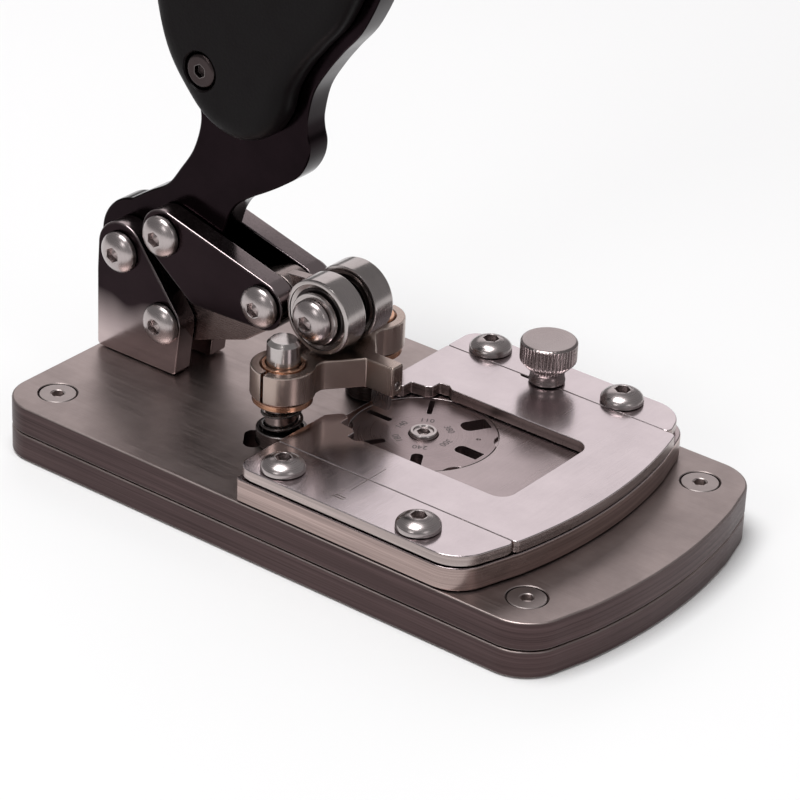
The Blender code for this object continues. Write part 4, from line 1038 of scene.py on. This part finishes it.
def make_rollers():
    """Ball-bearing rollers: ground outer ring, dark seal, and an inner ring with a collar."""
    for side, label in SIDES:
        low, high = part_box(label + "_roller")
        inner_face = low.x if side > 0 else high.x
        width = high.x - low.x
        matrix = axis_matrix((inner_face, *ROLLER_AXIS), (side, 0.0, 0.0))
        r = (high.z - low.z) / 2
        groove_r = 6.9 * MM
        ring = [(6.1 * MM, 0.5 * MM), (groove_r, 0.3 * MM), (groove_r + 0.12 * MM, 0.0),
                (r - 0.5 * MM, 0.0), (r - 0.15 * MM, 0.12 * MM), (r, 0.5 * MM),
                (r, width - 0.6 * MM), (r - 0.18 * MM, width - 0.18 * MM), (r - 0.6 * MM, width),
                (groove_r + 0.12 * MM, width), (groove_r, width - 0.3 * MM),
                (6.1 * MM, width - 0.5 * MM)]
        stand_for(turned(label + "_roller_fine", ring, matrix, 120), label + "_roller")
        seal = [(4.95 * MM, 0.55 * MM), (6.05 * MM, 0.55 * MM), (6.05 * MM, width - 0.55 * MM),
                (5.9 * MM, width - 0.42 * MM), (5.1 * MM, width - 0.42 * MM),
                (4.95 * MM, width - 0.55 * MM)]
        place_on(turned(label + "_roller_seal", seal, matrix, 96), label + "_roller",
                 "roller_steel", "seal_steel")
        low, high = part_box(label + "_bearing_inner_ring")
        collar = high.x - low.x
        inner = [(2.65 * MM, 0.0), (4.5 * MM, 0.0), (4.6 * MM, 0.1 * MM),
                 (4.6 * MM, width - 0.1 * MM), (4.6 * MM, width + 0.1 * MM),
                 (5.3 * MM, width + 0.1 * MM),
                 (5.45 * MM, width + 0.25 * MM), (5.45 * MM, collar - 0.15 * MM),
                 (5.3 * MM, collar), (2.65 * MM, collar)]
        stand_for(turned(label + "_bearing_inner_ring_fine", inner, matrix, 96),
                  label + "_bearing_inner_ring")


# ---------------------------------------------------------------- handle

# Side-view points in millimetres: round the handle from rear to front, and round a grip scale
HANDLE_REAR = [(62.7, 45.7), (58.0, 48.9), (53.0, 52.1), (49.6, 56.6), (46.3, 61.8), (44.5, 68.0),
               (45.1, 72.4), (47.8, 76.9), (51.2, 82.5), (54.2, 90.0), (55.7, 100.0), (55.0, 112.0),
               (51.0, 124.0), (43.5, 134.5), (33.5, 141.0), (22.0, 143.5), (11.0, 140.8),
               (3.0, 133.0), (-0.8, 122.0), (-0.4, 110.0), (4.0, 99.5), (9.0, 93.2), (12.6, 88.4),
               (15.8, 83.0), (17.2, 77.0), (17.1, 74.0), (16.4, 71.0), (17.0, 67.6), (19.2, 64.0),
               (23.1, 60.9), (27.0, 58.3), (31.1, 55.8), (34.4, 53.3), (36.6, 50.0), (38.5, 44.5),
               (41.4, 39.6)]
SCALE_EDGE = [(44.5, 77.0), (49.2, 83.5), (52.0, 91.5), (53.4, 101.0), (52.6, 111.5), (48.8, 122.8),
              (42.0, 132.2), (32.7, 138.4), (22.2, 140.7), (12.3, 138.3), (5.2, 131.5),
              (1.7, 121.5), (2.1, 110.8), (6.1, 101.0), (11.3, 94.5), (15.2, 89.5), (18.4, 83.8),
              (20.2, 77.5), (24.5, 72.0), (31.5, 69.8), (39.0, 72.0)]
GRIP_HEAD = 1.7 * MM                           # height of the grip screws' heads and nuts


def make_handle():
    lobe = arc(HANDLE_PIVOT, 9.8 * MM, -118, 80, 48)
    edges = smooth_curve([(y * MM, z * MM) for y, z in HANDLE_REAR])
    toe = arc(LINK_TOP, 7.0 * MM, 225, 285, 16)
    body = plate("handle_plate_fine", lobe[:-1] + edges + toe, -CORE_HALF, CORE_HALF, "X", 0.5 * MM)
    cut(body, side_bore(HANDLE_PIVOT, PIVOT_HOLE), side_bore(LINK_TOP, PIVOT_HOLE))
    stand_for(body, "handle_plate")

    points = [(y * MM, z * MM) for y, z in SCALE_EDGE]
    per_span = 6
    ring = smooth_curve(points[-2:] + points + points[:2], per_span)
    edge = ring[2 * per_span:][:len(points) * per_span]
    screws = [middle("grip_screw_" + where).yz for where in ("lower", "upper")]
    for side, label in SIDES:
        inner = side * CHEEK_INNER
        crown = ((0.25, 0.0), (0.0, 0.25), (0.0, 2.6), (0.12, 3.4), (0.5, 4.2), (1.1, 4.8),
                 (1.9, 5.2), (3.0, 5.42), (4.4, 5.5))
        rings = [[(inner + side * height * MM, y, z) for y, z in inset(edge, pull * MM)]
                 for pull, height in crown]
        scale = make_object(label + "_grip_scale_fine", loft(rings))
        for at in screws:
            matrix = axis_matrix((inner, at[0], at[1]), (side, 0.0, 0.0))
            well = [(2.3 * MM, -MM), (2.3 * MM, 3.4 * MM), (4.0 * MM, 3.4 * MM),
                    (4.0 * MM, 5.1 * MM), (4.4 * MM, 5.6 * MM), (4.4 * MM, 7.0 * MM)]
            cut(scale, bore(matrix, well))
        stand_for(scale, label + "_grip_scale")
        for where, at in zip(("lower", "upper"), screws):
            node = "grip_%s_%s" % ("screw" if side < 0 else "nut", where)
            low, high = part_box(node)
            reach = high.x - low.x
            seat = (high.x if side > 0 else low.x) - side * GRIP_HEAD
            matrix = axis_matrix((seat, at[0], at[1]), (side, 0.0, 0.0))
            profile = [(0.0, GRIP_HEAD - reach), (2.0 * MM, GRIP_HEAD - reach), (2.0 * MM, 0.0),
                       (3.5 * MM, 0.0), (3.6 * MM, 0.1 * MM), (3.6 * MM, 1.0 * MM),
                       (3.45 * MM, 1.35 * MM), (3.1 * MM, 1.6 * MM), (2.7 * MM, GRIP_HEAD),
                       (0.0, GRIP_HEAD)]
            fastener = turned(node + "_fine", profile, matrix, 64)
            cut(fastener, socket_cutter(matrix, 2.5 * MM, 0.6 * MM, GRIP_HEAD))
            stand_for(fastener, node, finish="black_screw")


# ---------------------------------------------------------------- stage

FLOOR_HALF = 6.0
FLOOR_Z = -0.0002


def make_stage():
    bm = bmesh.new()
    signs = ((-1, -1), (1, -1), (1, 1), (-1, 1))
    bm.faces.new([bm.verts.new((x * FLOOR_HALF, y * FLOOR_HALF, FLOOR_Z)) for x, y in signs])
    floor = make_object("floor", bm)
    graph = Graph("floor_paint")
    cloud = graph.noise(graph.place(), 3.0, 3.0)
    graph.cover(graph.blend(cloud, (0.90, 0.90, 0.90), (0.93, 0.93, 0.93)), 0.85)
    graph.put(graph.shader, "Specular IOR Level", 0.1)
    floor.data.materials.append(graph.material)


def area_light(name, place, target, size, power, colour=(1.0, 1.0, 1.0)):
    data = bpy.data.lights.new(name, "AREA")
    data.shape = "RECTANGLE"
    data.size = size[0]
    data.size_y = size[1]
    data.energy = power
    data.color = colour
    light = bpy.data.objects.new(name, data)
    bpy.context.scene.collection.objects.link(light)
    light.matrix_world = axis_matrix(place, Vector(place) - Vector(target))


def make_lights():
    world = bpy.data.worlds.new("studio")
    bpy.context.scene.world = world
    world.use_nodes = True
    background = world.node_tree.nodes["Background"]
    background.inputs["Color"].default_value = (0.80, 0.79, 0.80, 1.0)
    background.inputs["Strength"].default_value = 0.34
    centre = (0.0, 0.0, 0.03)
    area_light("back_softbox", (0.75, 0.60, 0.55), centre, (0.9, 0.6), 1.5, (1.0, 0.96, 0.97))
    area_light("top_softbox", (-0.35, 0.10, 1.6), centre, (0.9, 0.9), 22.0)
    area_light("left_softbox", (-1.15, -0.06, 0.7), centre, (0.35, 0.35), 1.2)
    area_light("front_softbox", (-0.26, -1.12, 0.7), centre, (0.35, 0.35), 0.7)


def make_camera():
    """The three-quarter view from the front left, from about 28 degrees above."""
    data = bpy.data.cameras.new("camera")
    data.lens = 155.16
    data.sensor_width = 36.0
    data.clip_start = 0.01
    camera = bpy.data.objects.new("camera", data)
    bpy.context.scene.collection.objects.link(camera)
    right = Vector((0.61563, -0.78703, 0.03980))
    up = Vector((0.35399, 0.32131, 0.87832))
    back = Vector((-0.70405, -0.52663, 0.47641))
    matrix = Matrix((right, up, back)).transposed().to_4x4()
    matrix.translation = (-0.48147, -0.36625, 0.34833)
    camera.matrix_world = matrix
    bpy.context.scene.camera = camera


make_base()
make_die_plate()
make_disc()
make_rails()
make_fence()
make_thumb_screw()
make_guides()
make_bridge()
make_linkage()
make_rollers()
make_handle()
make_stage()
make_lights()
make_camera()
bpy.context.scene.view_settings.view_transform = "Standard"
